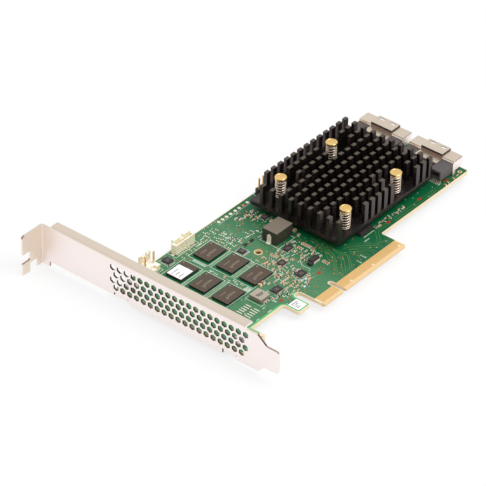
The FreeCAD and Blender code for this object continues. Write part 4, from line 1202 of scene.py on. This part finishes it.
class CARD_OT_print(bpy.types.Operator):
    """Printed outlines and plain marks"""

    bl_idname = "card.print"
    bl_label = "Printing"

    def execute(self, context):
        made, sizes = finishes(), context.scene.card_sizes
        low = sizes.mask_height / MM
        high = low + INK_HEIGHT
        width = sizes.line_width / MM
        chance = random.Random(SEED + 1)
        bm = bmesh.new()
        for x0, y0, x1, y1 in MEMORY_OUTLINES + PART_OUTLINES:
            frame_line(bm, x0, y0, x1, y1, width, low, high)
        for x, y, length, across in BAR_MARKS:
            bar_mark(bm, chance, x, y, length, across, low, high)
        for node in SMALL_PACKAGES:
            corner_low, corner_high = node_box(node)
            x0, y0 = corner_low.x - CORNER_GAP, corner_low.y - CORNER_GAP
            x1, y1 = corner_high.x + CORNER_GAP, corner_high.y + CORNER_GAP
            for x, arm_x in ((x0, CORNER_ARM), (x1, -CORNER_ARM)):
                for y, arm_y in ((y0, CORNER_ARM), (y1, -CORNER_ARM)):
                    ribbon(bm, [(x + arm_x, y), (x, y), (x, y + arm_y)], width * 0.8, low, high)
            disc(bm, x0 - 0.1, y1 + 0.1, 0.2, low, high, 0, 8)
        ribbon(bm, [(3.3, 25.0), (1.9, 23.0), (1.9, 18.6)], width, low, high)
        ribbon(bm, [(1.6, 65.4), (22.4, 65.4)], width * 0.7, low, high)
        # The back carries a few outlines of its own
        under = node_box("circuit_board")[0].z - low
        for x0, y0, x1, y1 in (
            (-46.0, 24.0, -14.0, 60.0), (30.0, 24.2, 59.0, 53.2), (60.0, 15.0, 76.0, 21.0),
        ):
            frame_line(bm, x0, y0, x1, y1, width, under - INK_HEIGHT, under)
        outer, _, _ = mask_loops(sizes)
        safe = moved_in(outer, 1.6)
        for x, y, length, across in BAR_MARKS[::2]:
            if inside(safe, x + 30.0, y) and inside(safe, x + 30.0 + length, y + length):
                bar_mark(bm, chance, x + 30.0, y, length, across, under - INK_HEIGHT, under)
        finish("printed_outlines", bm, [made.ink])
        return {"FINISHED"}


class CARD_OT_contacts(bpy.types.Operator):
    """Gold contacts of the keyed edge"""

    bl_idname = "card.contacts"
    bl_label = "Edge contacts"

    def execute(self, context):
        made, sizes = finishes(), context.scene.card_sizes
        half = sizes.contact_width / MM / 2
        plated, field = bmesh.new(), bmesh.new()
        pads = islands("edge_contacts")
        for low, high in pads:
            middle, start = (low.x + high.x) / 2, low.y
            if high.z > -0.5 and min(abs(middle - x) for x in LATE_CONTACTS) < 0.45:
                start += LATE_START
                block(field, (middle - half, low.y, 0), (middle + half, start, PAD_RISE), 1)
            block(plated, (middle - half, start, low.z), (middle + half, high.y, high.z))
        finish("edge_contacts_plated", plated, [made.gold], ["edge_contacts"])
        under = node_box("circuit_board")[0].z
        # The mask stays off both runs of contacts, left and right of the key notch
        for side in (-1, 1):
            group = [(low, high) for low, high in pads if low.x * side > 0]
            x0 = min(low.x for low, _ in group) - 0.1
            x1 = max(high.x for _, high in group) + 0.1
            y0 = min(low.y for low, _ in group)
            y1 = max(high.y for _, high in group)
            for low, high in ((0, BARE_RISE), (under - BARE_RISE, under)):
                block(field, (x0, y0, low), (x1, y1 + 0.15, high))
        finish("contact_field_bare", field, [made.bare, made.laminate])
        return {"FINISHED"}


class CARD_OT_bracket(bpy.types.Operator):
    """Perforated end bracket and its screws"""

    bl_idname = "card.bracket"
    bl_label = "End bracket"

    def execute(self, context):
        made, sizes = finishes(), context.scene.card_sizes
        bm = from_node("io_bracket")
        fronts = [face for face in bm.faces if face.normal.x < -0.99]
        if not fronts:
            raise RuntimeError("the bracket has no front")
        front = max(fronts, key=lambda face: face.calc_area()).verts[0].co.x
        far = node_box("io_bracket")[1].y
        # Cut edges keep the torn steel; those that face up or lie low on the front are painted
        # paler as light, and the lip and the flange take a warmer, darker copy of the sheet as
        # painted shade
        for face in bm.faces:
            size = extents(face)
            middle = face.calc_center_bounds()
            normal = face.normal
            through_front = SHEET_LEAST < size[0] < SHEET_MOST and abs(normal.x) < 0.1
            through_flange = SHEET_LEAST < size[1] < SHEET_MOST and abs(normal.y) < 0.1
            if through_front and front - 0.05 < middle.x < front + 0.9:
                at_end = middle.y < 1.0 and abs(normal.y) > 0.8
                painted_pale = middle.z < PALE_EDGE_BELOW or (middle.y < TONGUE_START and normal.z > 0.8)
                face.material_index = 0 if at_end else 3 if painted_pale else 1
            elif through_flange and middle.y > far - FLANGE_CUTS:
                face.material_index = 3 if normal.z > 0.3 else 0
            # Lip tops and flange faces take the darker, warmer sheet as painted shade
            elif (normal.z > 0.5 and middle.z > LIP_START) or (
                    abs(normal.y) > 0.5 and middle.y > far - FLANGE_REACH):
                face.material_index = 2
        finish(
            "bracket_sheet", bm, [made.steel, made.sheared, made.steel_lip_shade, made.sheared_pale],
            ["io_bracket"], bevel=sizes.sheet_edge / MM, segments=1,
        )
        finish(
            "bracket_screw_pair", from_node("bracket_screws"), [made.screw],
            ["bracket_screws"], bevel=0.15,
        )
        return {"FINISHED"}


class CARD_OT_heat_sink(bpy.types.Operator):
    """Pin-fin heat sink with a painted sheen on its pin ends"""

    bl_idname = "card.heat_sink"
    bl_label = "Heat sink"

    def execute(self, context):
        made, sizes = finishes(), context.scene.card_sizes
        bm = from_node("heat_sink")
        top = node_box("heat_sink")[1].z
        # Pin tops take the paler colour as a painted sheen
        paint(bm, 1, lambda f: f.normal.z > 0.9 and f.calc_center_median().z > top - 0.05)
        finish(
            "pin_fin_heat_sink", bm, [made.anodised, made.sawn],
            ["heat_sink"], bevel=sizes.pin_edge / MM,
        )
        return {"FINISHED"}


class CARD_OT_push_pins(bpy.types.Operator):
    """Brass push pins with collared heads"""

    bl_idname = "card.push_pins"
    bl_label = "Push pins"

    def execute(self, context):
        made = finishes()
        bm = bmesh.new()
        for low, high in islands("push_pins"):
            spot = ((low + high) / 2).xy
            top, tip = high.z, low.z
            # Shank with its barb below the board
            lathe(bm, [
                (0.25, tip), (0.85, tip), (1.7, -1.72), (1.75, -1.62), (1.7, -1.57), (0.95, -1.57),
                (0.95, top - 1.9), (1.75, top - 1.86),
            ], spot, 32, 1)
            # Collar and head, with a shallow dish in its top
            lathe(bm, [
                (1.2, top - 1.9), (2.1, top - 1.86), (2.2, top - 1.78), (2.2, top - 1.32),
                (2.12, top - 1.25), (2.12, top - 1.12), (2.34, top - 1.06), (2.46, top - 0.96),
                (2.5, top - 0.82), (2.5, top - 0.28), (2.46, top - 0.12), (2.34, top - 0.01),
                (2.16, top), (2.02, top - 0.1), (1.86, top - 0.15), (0.3, top - 0.17),
            ], spot, 48)
        finish("push_pins_turned", bm, [made.brass, made.brass_shade],
               ["push_pins"])
        return {"FINISHED"}


class CARD_OT_springs(bpy.types.Operator):
    """Springs that seat the heat sink"""

    bl_idname = "card.springs"
    bl_label = "Springs"

    def execute(self, context):
        made, sizes = finishes(), context.scene.card_sizes
        wire, turns = sizes.wire_radius / MM, sizes.coil_turns
        pins = [((low + high) / 2).xy for low, high in islands("push_pins")]
        for number in range(1, 5):
            low, high = node_box(f"pin_spring_{number}")
            near = ((low + high) / 2).xy
            centre = min(pins, key=lambda pin: (pin - near).length)
            widest = (high.x - low.x) / 2 - wire
            closed = wire * 2.1
            bottom, rise = low.z + wire, high.z - low.z - 2 * wire - 2 * closed
            path = []
            for step in range(turns * COIL_STEPS + 1):
                turn = step / COIL_STEPS
                # Both end turns are closed
                if turn <= 1:
                    height = closed * turn
                elif turn >= turns - 1:
                    height = closed + rise + closed * (turn - turns + 1)
                else:
                    height = closed + rise * (turn - 1) / (turns - 2)
                # The lowest turn closes in to sit on the base
                radius = widest * (0.9 + 0.1 * min(1, turn / 1.5))
                angle = 2 * math.pi * turn
                path.append((
                    centre.x + radius * math.cos(angle), centre.y + radius * math.sin(angle),
                    bottom + height,
                ))
            bm = bmesh.new()
            tube(bm, path, wire, 8)
            finish(
                f"spring_coil_{number}", bm, [made.wire],
                [f"pin_spring_{number}"], smooth=60,
            )
        return {"FINISHED"}


class CARD_OT_controller(bpy.types.Operator):
    """Controller package and thermal pad under the heat sink"""

    bl_idname = "card.controller"
    bl_label = "Controller"

    def execute(self, context):
        made = finishes()
        dress("controller_substrate", made.carrier)
        dress("controller_die", made.silicon)
        dress("thermal_pad", made.filler)
        return {"FINISHED"}


class CARD_OT_ports(bpy.types.Operator):
    """Shelled drive ports with their housings and leads"""

    bl_idname = "card.ports"
    bl_label = "Drive ports"

    def execute(self, context):
        made = finishes()
        for number in (1, 2):
            low, high = node_box(f"port_shell_{number}")
            bm = from_node(f"port_shell_{number}")
            wing_top = high.z - WING_DROP
            # Drawn walls and inner faces mirror the dark body
            for face in bm.faces:
                middle = face.calc_center_bounds()
                drawn = face.normal.x < -0.9 or face.normal.y < -0.9
                if drawn and middle.z > wing_top - 0.05 and extents(face)[2] < 1.4:
                    face.material_index = 1
                elif face.normal.x > 0.9 and middle.x < high.x - 0.3:
                    face.material_index = 1
            # The raised middle is open towards the housing: a dark sheet and a paler band below it
            # stand for the painted shade inside
            centre = (low.y + high.y) / 2
            front = node_box(f"port_housing_{number}")[1].x
            block(bm, (front - 0.03, centre - RAISED_HALF, wing_top + 0.1),
                  (front + 0.07, centre + RAISED_HALF, high.z - 0.15), 2)
            block(bm, (front - 0.04, centre - RAISED_HALF, wing_top - 1.12),
                  (front + 0.06, centre + RAISED_HALF, wing_top + 0.1), 3)
            # The end walls take the bright bracket steel as a painted reflection of the floor,
            # under a dark line along the top's edge in the shell's shade colour
            paint(
                bm, 4,
                lambda f: f.normal.y < -0.9 and f.calc_center_bounds().y < low.y + 0.1,
            )
            block(bm, (front + 0.4, low.y - 0.03, wing_top - 0.32),
                  (high.x - 0.15, low.y + 0.05, wing_top - 0.04), 1)
            looks = [
                made.shell, made.shell_shade, made.polymer_shade, made.sheared_pale, made.steel,
            ]
            finish(f"port_shell_formed_{number}", bm, looks,
                   [f"port_shell_{number}"], bevel=0.06)
            low, high = node_box(f"port_housing_{number}")
            bm = from_node(f"port_housing_{number}")
            # Ledges are ivory, and the inner walls are in shade
            for face in bm.faces:
                middle = face.calc_center_bounds()
                if face.normal.z > 0.9 and 4.5 < middle.z < high.z - 0.05:
                    face.material_index = 2
                elif face.normal.x < -0.9 and middle.x > low.x + 0.3 and middle.z < 5.0:
                    face.material_index = 1
            finish(
                f"port_housing_moulded_{number}", bm,
                [made.polymer, made.polymer_shade, made.ivory],
                [f"port_housing_{number}"], bevel=0.1,
            )
            dress(f"port_contacts_{number}", made.solder)
        return {"FINISHED"}


class CARD_OT_memory(bpy.types.Operator):
    """Memory packages with faint burnt marks"""

    bl_idname = "card.memory"
    bl_label = "Memory packages"

    def execute(self, context):
        made = finishes()
        chance = random.Random(SEED + 2)
        for number in range(1, 7):
            low, high = node_box(f"memory_chip_{number}")
            middle = (low + high) / 2
            bm = bmesh.new()
            # Solder balls lift the body a little off the board; a dark block fills that gap as
            # painted shade
            block(bm, (low.x + 0.3, low.y + 0.3, 0), (high.x - 0.3, high.y - 0.3, 0.3), 2)
            block(bm, (low.x, low.y, 0.25), high, 0, 0.06, 1)
            # Sides take the sawn side colour, darker as painted shade
            paint(bm, 2, lambda face: abs(face.normal.z) < 0.5)
            top = high.z
            lathe(
                bm, [(0.36, top - 0.05), (0.36, top + 0.005), (0.05, top + 0.005)],
                (high.x - 0.95, high.y - 0.95), 20, 1,
            )
            # Two rows of plain marks and a ring stand for what is burnt in
            burnt_row(bm, chance, (middle.x - 3.3, middle.y + 1.7), 8, 0.46, 0.24, (0.45, 0.7), top)
            burnt_row(bm, chance, (middle.x - 1.3, middle.y - 0.9), 6, 0.78, 0.3, (0.9, 1.2), top)
            for i in (1, 3, 5):
                block_at(bm, (middle.x - 1.6 + i * 0.78, middle.y - 0.9), (0.5, 0.24),
                         top - MARK_ROOT, top + MARK_RISE, 1)
            ring_plate(bm, (middle.x - 2.4, middle.y - 1.4), 0.34, 0.62, top - MARK_ROOT,
                       top + MARK_RISE, 1, 20)
            finish(
                f"memory_package_{number}", bm, [made.package, made.laser, made.package_side],
                [f"memory_chip_{number}"],
            )
        return {"FINISHED"}


class CARD_OT_labels(bpy.types.Operator):
    """Plain white labels with generic bars"""

    bl_idname = "card.labels"
    bl_label = "Labels"

    def execute(self, context):
        made = finishes()
        chance = random.Random(SEED + 3)
        for node, rows, pitch, start, stop in (
            ("memory_label", (0.74, 0.5, 0.24), 0.5, 0.9, 4.6),
            ("hook_label", (0.78, 0.6, 0.42, 0.24), 0.42, 0.8, 4.2),
        ):
            low, high = node_box(node)
            bm = bmesh.new()
            block(bm, low, high, 0, 0.02)
            top = high.z
            # Rows of plain bars, each shorter than the one above
            for row, share in enumerate(rows):
                y = low.y + (high.y - low.y) * share
                x = low.x + start
                while x < low.x + stop - row * 0.3:
                    if chance.random() < 0.86:
                        size = (0.26, chance.choice((0.42, 0.56, 0.7)))
                        block_at(bm, (x, y), size, top - 0.01, top + 0.006, 1)
                    x += pitch * 0.8
            finish(f"{node}_printed", bm, [made.paper, made.print], [node])
        return {"FINISHED"}


class CARD_OT_inductors(bpy.types.Operator):
    """Power inductors"""

    bl_idname = "card.inductors"
    bl_label = "Inductors"

    def execute(self, context):
        made = finishes()
        chance = random.Random(SEED + 4)
        low, high = node_box("tall_inductor_core")
        bm = bmesh.new()
        block(bm, low, high, 0, 0.2, 3)
        # The sides take the darker colour as painted shade
        paint(bm, 1, lambda face: face.normal.z < 0.5)
        finish("tall_inductor_body", bm, [made.powder, made.powder_side],
               ["tall_inductor_core"])
        finish(
            "tall_inductor_straps", from_node("tall_inductor_clips"), [made.solder],
            ["tall_inductor_clips"], bevel=0.14, segments=3,
        )
        low, high = node_box("flat_inductor_core")
        bm = bmesh.new()
        block(bm, (low.x, low.y, low.z + 0.5), high, 0, 0.2, 3)
        # The sides take the darker colour as painted shade
        paint(bm, 1, lambda face: face.normal.z < 0.5)
        block(bm, (low.x + 0.12, low.y + 0.12, low.z),
              (high.x - 0.12, high.y - 0.12, low.z + 0.6), 1)
        top = high.z
        for i in range(7):
            x = low.x + 1.3 + i * 0.5
            block_at(
                bm, (x, (low.y + high.y) / 2 + chance.choice((-0.35, 0.0, 0.35))),
                (0.32, chance.choice((1.2, 1.7, 2.2))), top - MARK_ROOT, top + 0.006, 2,
            )
        finish(
            "flat_inductor_body", bm,
            [made.powder_pale, made.powder_pale_side, made.powder_side],
            ["flat_inductor_core"],
        )
        dress("flat_inductor_pads", made.solder)
        return {"FINISHED"}


class CARD_OT_headers(bpy.types.Operator):
    """Cable headers and jumper posts"""

    bl_idname = "card.headers"
    bl_label = "Headers"

    def execute(self, context):
        made = finishes()
        for node, material, slot in (
            ("sense_header", made.ivory, "ivory_nylon"), ("lock_header", made.ivory, "ivory_nylon"),
            ("jumper_header_base", made.black, "black_nylon"),
            ("sense_header_leads", made.solder, "tinned_copper"),
            ("lock_header_pins", made.gold, "gold_plating"),
            ("jumper_header_pins", made.gold, "gold_plating"),
        ):
            bm = from_node(node)
            # Faces that do not face up take the side colour, a painted shade on the ivory
            paint(bm, 1, lambda face: face.normal.z < 0.5)
            side = made.ivory_side if material == made.ivory else material
            finish(f"{node}_finished", bm, [material, side], [node], bevel=0.08)
        return {"FINISHED"}


class CARD_OT_packages(bpy.types.Operator):
    """Small packages with their lands and burnt marks"""

    bl_idname = "card.packages"
    bl_label = "Small packages"

    def execute(self, context):
        made = finishes()
        chance = random.Random(SEED + 5)
        lands = bmesh.new()
        for node in SMALL_PACKAGES:
            low, high = node_box(node)
            bm = bmesh.new()
            block(bm, low, high, 0, 0.06, 2)
            top = high.z
            disc(bm, low.x + 0.5, high.y - 0.5, 0.16, top - MARK_ROOT, top + MARK_RISE, 1, 10)
            for row in (0.15, -0.6):
                start = ((low.x + high.x) / 2 - 0.8, (low.y + high.y) / 2 + row)
                burnt_row(bm, chance, start, 4, 0.45, 0.2, (0.3, 0.5), top)
            finish(f"{node}_package", bm, [made.package_dark, made.laser],
                   [node])
            for x in stations(low.x, high.x, LAND_PITCH):
                for y in (low.y - 0.14, high.y + 0.14):
                    block_at(lands, (x, y), (0.34, 0.5), 0, PACKAGE_LAND)
            for y in stations(low.y, high.y, LAND_PITCH):
                for x in (low.x - 0.14, high.x + 0.14):
                    block_at(lands, (x, y), (0.5, 0.34), 0, PACKAGE_LAND)
        finish("package_lands", lands, [made.solder])

        for node in ("flash_memory", "level_shifter"):
            bm = from_node(node)
            if node == "level_shifter":
                # The feet of its leads are bright
                paint(bm, 1, lambda face: max(vert.co.z for vert in face.verts) < LEAD_FOOT)
            else:
                # Its leads stay in shade, over a bright line of solder
                low, high = node_box(node)
                block(bm, (low.x + 0.5, low.y - 0.12, 0), (high.x - 0.5, low.y + 0.1, 0.14), 1)
            finish(f"{node}_package", bm, [made.package_dark, made.solder],
                   [node], bevel=0.06)

        low, high = node_box("power_diode")
        bm = bmesh.new()
        block(bm, (low.x + 1.3, low.y + 0.35, 0.1), (high.x - 0.05, high.y, high.z), 0, 0.12, 2)
        block(bm, (low.x, low.y, 0.05), (low.x + 1.9, high.y - 0.5, 1.35), 0, 0.1, 2)
        block(bm, (low.x + 1.5, low.y + 0.02, 0), (high.x, low.y + 0.42, 0.7), 1, 0.06, 2)
        block(bm, (high.x - 0.5, low.y + 0.5, 0), (high.x, high.y - 0.3, 1.0), 1, 0.06, 2)
        finish("power_diode_moulded", bm, [made.package_dark, made.solder],
               ["power_diode"])
        bm = bmesh.new()
        for low, high in islands("signal_diodes"):
            block(bm, (low.x + 0.3, low.y, 0.1), (high.x - 0.3, high.y, high.z), 0, 0.05)
            block(bm, (low.x, low.y + 0.2, 0), (low.x + 0.4, high.y - 0.2, 0.4), 1, 0.03)
            block(bm, (high.x - 0.4, low.y + 0.2, 0), (high.x, high.y - 0.2, 0.4), 1, 0.03)
        finish("signal_diodes_moulded", bm, [made.package_dark, made.solder],
               ["signal_diodes"])
        return {"FINISHED"}


def stations(low, high, pitch):
    """Even places along a side."""
    count = int((high - low - 0.5) / pitch)
    middle = (low + high) / 2
    return [middle + (i - count / 2) * pitch for i in range(count + 1)]


def chip_part(bm, low, high, body, ends):
    """Chip with a body and two tinned ends along its longer side."""
    along = 0 if high.x - low.x >= high.y - low.y else 1
    across = 1 - along
    length = high[along] - low[along]
    cap = max(0.16, length * 0.2)
    inner_low, inner_high = Vector(low), Vector(high)
    inner_low[along] += cap * 0.6
    inner_high[along] -= cap * 0.6
    inner_low[across] += 0.02
    inner_high[across] -= 0.02
    inner_high.z -= 0.02
    block(bm, inner_low, inner_high, body, 0.03)
    for side in (0, 1):
        end_low, end_high = Vector(low), Vector(high)
        land_low, land_high = Vector(low), Vector(high)
        if side:
            end_low[along] = land_low[along] = high[along] - cap
            land_high[along] += CHIP_LAND
        else:
            end_high[along] = land_high[along] = low[along] + cap
            land_low[along] -= CHIP_LAND
        block(bm, end_low, end_high, ends, 0.05)
        # Solder climbs from the land to the end
        land_high.z = CHIP_LAND
        block(bm, land_low, land_high, ends)


class CARD_OT_passives(bpy.types.Operator):
    """Chip capacitors, resistors and lamps"""

    bl_idname = "card.passives"
    bl_label = "Chip parts"

    def execute(self, context):
        made = finishes()
        chance = random.Random(SEED + 6)
        areas = standing_areas()
        bm = bmesh.new()
        for low, high in islands("ceramic_capacitors"):
            chip_part(bm, low, high, chance.choice((0, 0, 0, 1, 2)), 3)
        finish("chip_capacitors", bm, made.ceramics + [made.solder],
               ["ceramic_capacitors"])
        bm = bmesh.new()
        for low, high in islands("chip_resistors"):
            chip_part(bm, low, high, 0, 1)
        finish("chip_resistor_set", bm, [made.glaze, made.solder],
               ["chip_resistors"])
        bm = bmesh.new()
        placed = 0
        for x0, y0, x1, y1, count in LOOSE_CHIPS:
            left = count
            for _ in range(count * 12):
                if not left:
                    break
                x, y = chance.uniform(x0, x1), chance.uniform(y0, y1)
                if not is_free(areas, x, y, 0.72, 0.6):
                    continue
                size = chance.choice(((1.0, 0.5), (1.0, 0.5), (0.5, 1.0), (1.3, 0.8)))
                tall = 0.5 if size[0] < 1.2 else 0.7
                half_x, half_y = size[0] / 2, size[1] / 2
                area = (x - half_x, y - half_y, x + half_x, y + half_y)
                areas.append(area)
                chip_part(
                    bm, Vector((*area[:2], 0)), Vector((*area[2:], tall)),
                    chance.choice((0, 0, 0, 1, 2, 4)), 3,
                )
                left -= 1
                placed += 1
        if not placed:
            raise RuntimeError("no room for the loose chips")
        finish("loose_chips", bm, made.ceramics + [made.solder, made.glaze])
        dress("indicator_lamps", made.lamp)
        return {"FINISHED"}


class CARD_OT_stage(bpy.types.Operator):
    """Floor, lamp, world and camera"""

    bl_idname = "card.stage"
    bl_label = "Stage"

    def execute(self, context):
        scene = context.scene
        stage, colours = scene.card_stage, scene.card_colours
        scene.view_settings.view_transform = "Standard"
        floor_level = CAD_BOUNDS[0].z
        half = stage.floor_size / 2
        bm = bmesh.new()
        corners = [(-half, -half), (half, -half), (half, half), (-half, half)]
        bm.faces.new([bm.verts.new((x, y, floor_level)) for x, y in corners])
        mesh = bpy.data.meshes.new("floor")
        bm.to_mesh(mesh)
        bm.free()
        floor = bpy.data.objects.new("floor", mesh)
        scene.collection.objects.link(floor)
        # Paper, matte: a mid grey that glows to white where the eye or a mirror sees it, so that
        # it keeps the card's shadow, and near white where it lights the card
        material = bpy.data.materials.new("floor_paper_matte")
        tree = bare_tree(material)
        path = add(tree, "ShaderNodeLightPath")
        seen = path.outputs["Is Camera Ray"]
        for kind in ("Is Glossy Ray", "Is Transmission Ray"):
            seen = add(
                tree, "ShaderNodeMath", {0: seen, 1: path.outputs[kind]}, operation="MAXIMUM"
            )
        lift = add(tree, "ShaderNodeMath", {0: seen, 1: FLOOR_GLOW}, operation="MULTIPLY")
        tone = add(
            tree, "ShaderNodeMix", {0: seen, 6: colours.floor, 7: colours.floor_seen},
            data_type="RGBA",
        )
        paper = add(tree, "ShaderNodeBsdfDiffuse", {0: tone.outputs[2]})
        glow = add(tree, "ShaderNodeEmission", {0: (1, 1, 1, 1), 1: lift})
        both = add(tree, "ShaderNodeAddShader", {0: paper, 1: glow})
        add(tree, "ShaderNodeOutputMaterial", {0: both})
        mesh.materials.append(material)

        world = bpy.data.worlds.new("studio")
        scene.world = world
        tree = bare_tree(world)
        path = add(tree, "ShaderNodeLightPath")
        place = add(tree, "ShaderNodeTexCoord")
        axes = add(tree, "ShaderNodeSeparateXYZ", {0: place.outputs["Generated"]})
        # Diffuse light comes mostly from overhead; mirrors see a white room with a greyer ceiling
        spread = add(
            tree, "ShaderNodeMapRange",
            {0: axes.outputs[2], 1: 0.0, 2: 0.85, 3: stage.side_level, 4: stage.top_level},
        )
        ceiling = add(
            tree, "ShaderNodeMapRange", {0: axes.outputs[2], 1: 0.1, 2: 0.7, 3: 1.0, 4: 0.78}
        )
        mirrored = add(
            tree, "ShaderNodeMath",
            {0: path.outputs["Is Glossy Ray"], 1: path.outputs["Is Transmission Ray"]},
            operation="MAXIMUM",
        )
        level = add(tree, "ShaderNodeMix", {0: mirrored, 2: spread, 3: ceiling})
        level = add(tree, "ShaderNodeMix", {0: path.outputs["Is Camera Ray"], 2: level, 3: 1.0})
        background = add(tree, "ShaderNodeBackground", {0: (1, 1, 1, 1), 1: level})
        add(tree, "ShaderNodeOutputWorld", {0: background})

        lamp = bpy.data.lights.new("key_lamp", "AREA")
        lamp.shape = "DISK"
        lamp.size = LAMP_WIDTH
        lamp.energy = stage.key_power
        lit = bpy.data.objects.new("key_lamp", lamp)
        scene.collection.objects.link(lit)
        lit.location = LAMP_AIM + LAMP_OFFSET
        lit.rotation_euler = (-LAMP_OFFSET).to_track_quat("-Z", "Y").to_euler()

        right, back = VIEW_RIGHT.normalized(), VIEW_BACK.normalized()
        up = back.cross(right).normalized()
        spot = right * VIEW_PLACE[0] + up * VIEW_PLACE[1] + back * VIEW_PLACE[2]
        view = bpy.data.cameras.new("camera")
        view.lens = stage.lens
        view.sensor_width = 36.0
        view.sensor_fit = "HORIZONTAL"
        view.clip_start = 0.05
        camera = bpy.data.objects.new("camera", view)
        turn = Matrix((right, up, back)).transposed().to_4x4()
        camera.matrix_world = Matrix.Translation(spot) @ turn
        scene.collection.objects.link(camera)
        scene.camera = camera
        return {"FINISHED"}


class CARD_PT_panel(bpy.types.Panel):
    """Pieces of the card"""

    bl_idname = "CARD_PT_panel"
    bl_label = "Drive controller card"
    bl_space_type = "VIEW_3D"
    bl_region_type = "UI"
    bl_category = "Card"

    def draw(self, context):
        for operator in OPERATORS:
            self.layout.operator(operator.bl_idname)
        for group in ("card_colours", "card_sizes", "card_stage"):
            settings = getattr(context.scene, group)
            box = self.layout.box()
            for name in settings.bl_rna.properties.keys():
                if name not in ("rna_type", "name"):
                    box.prop(settings, name)


GROUPS = (CardColours, CardSizes, StageSettings)
OPERATORS = (
    CARD_OT_board, CARD_OT_copper, CARD_OT_print, CARD_OT_contacts, CARD_OT_bracket,
    CARD_OT_heat_sink, CARD_OT_push_pins, CARD_OT_springs, CARD_OT_controller, CARD_OT_ports,
    CARD_OT_memory, CARD_OT_labels, CARD_OT_inductors, CARD_OT_headers, CARD_OT_packages,
    CARD_OT_passives, CARD_OT_stage,
)
CLASSES = GROUPS + OPERATORS + (CARD_PT_panel,)


def register():
    for item in CLASSES:
        bpy.utils.register_class(item)
    bpy.types.Scene.card_colours = PointerProperty(type=CardColours)
    bpy.types.Scene.card_sizes = PointerProperty(type=CardSizes)
    bpy.types.Scene.card_stage = PointerProperty(type=StageSettings)


def unregister():
    del bpy.types.Scene.card_colours
    del bpy.types.Scene.card_sizes
    del bpy.types.Scene.card_stage
    for item in reversed(CLASSES):
        bpy.utils.unregister_class(item)


def main():
    register()
    for operator in OPERATORS:
        group, name = operator.bl_idname.split(".")
        getattr(getattr(bpy.ops, group), name)()


if __name__ == "__main__":
    main()
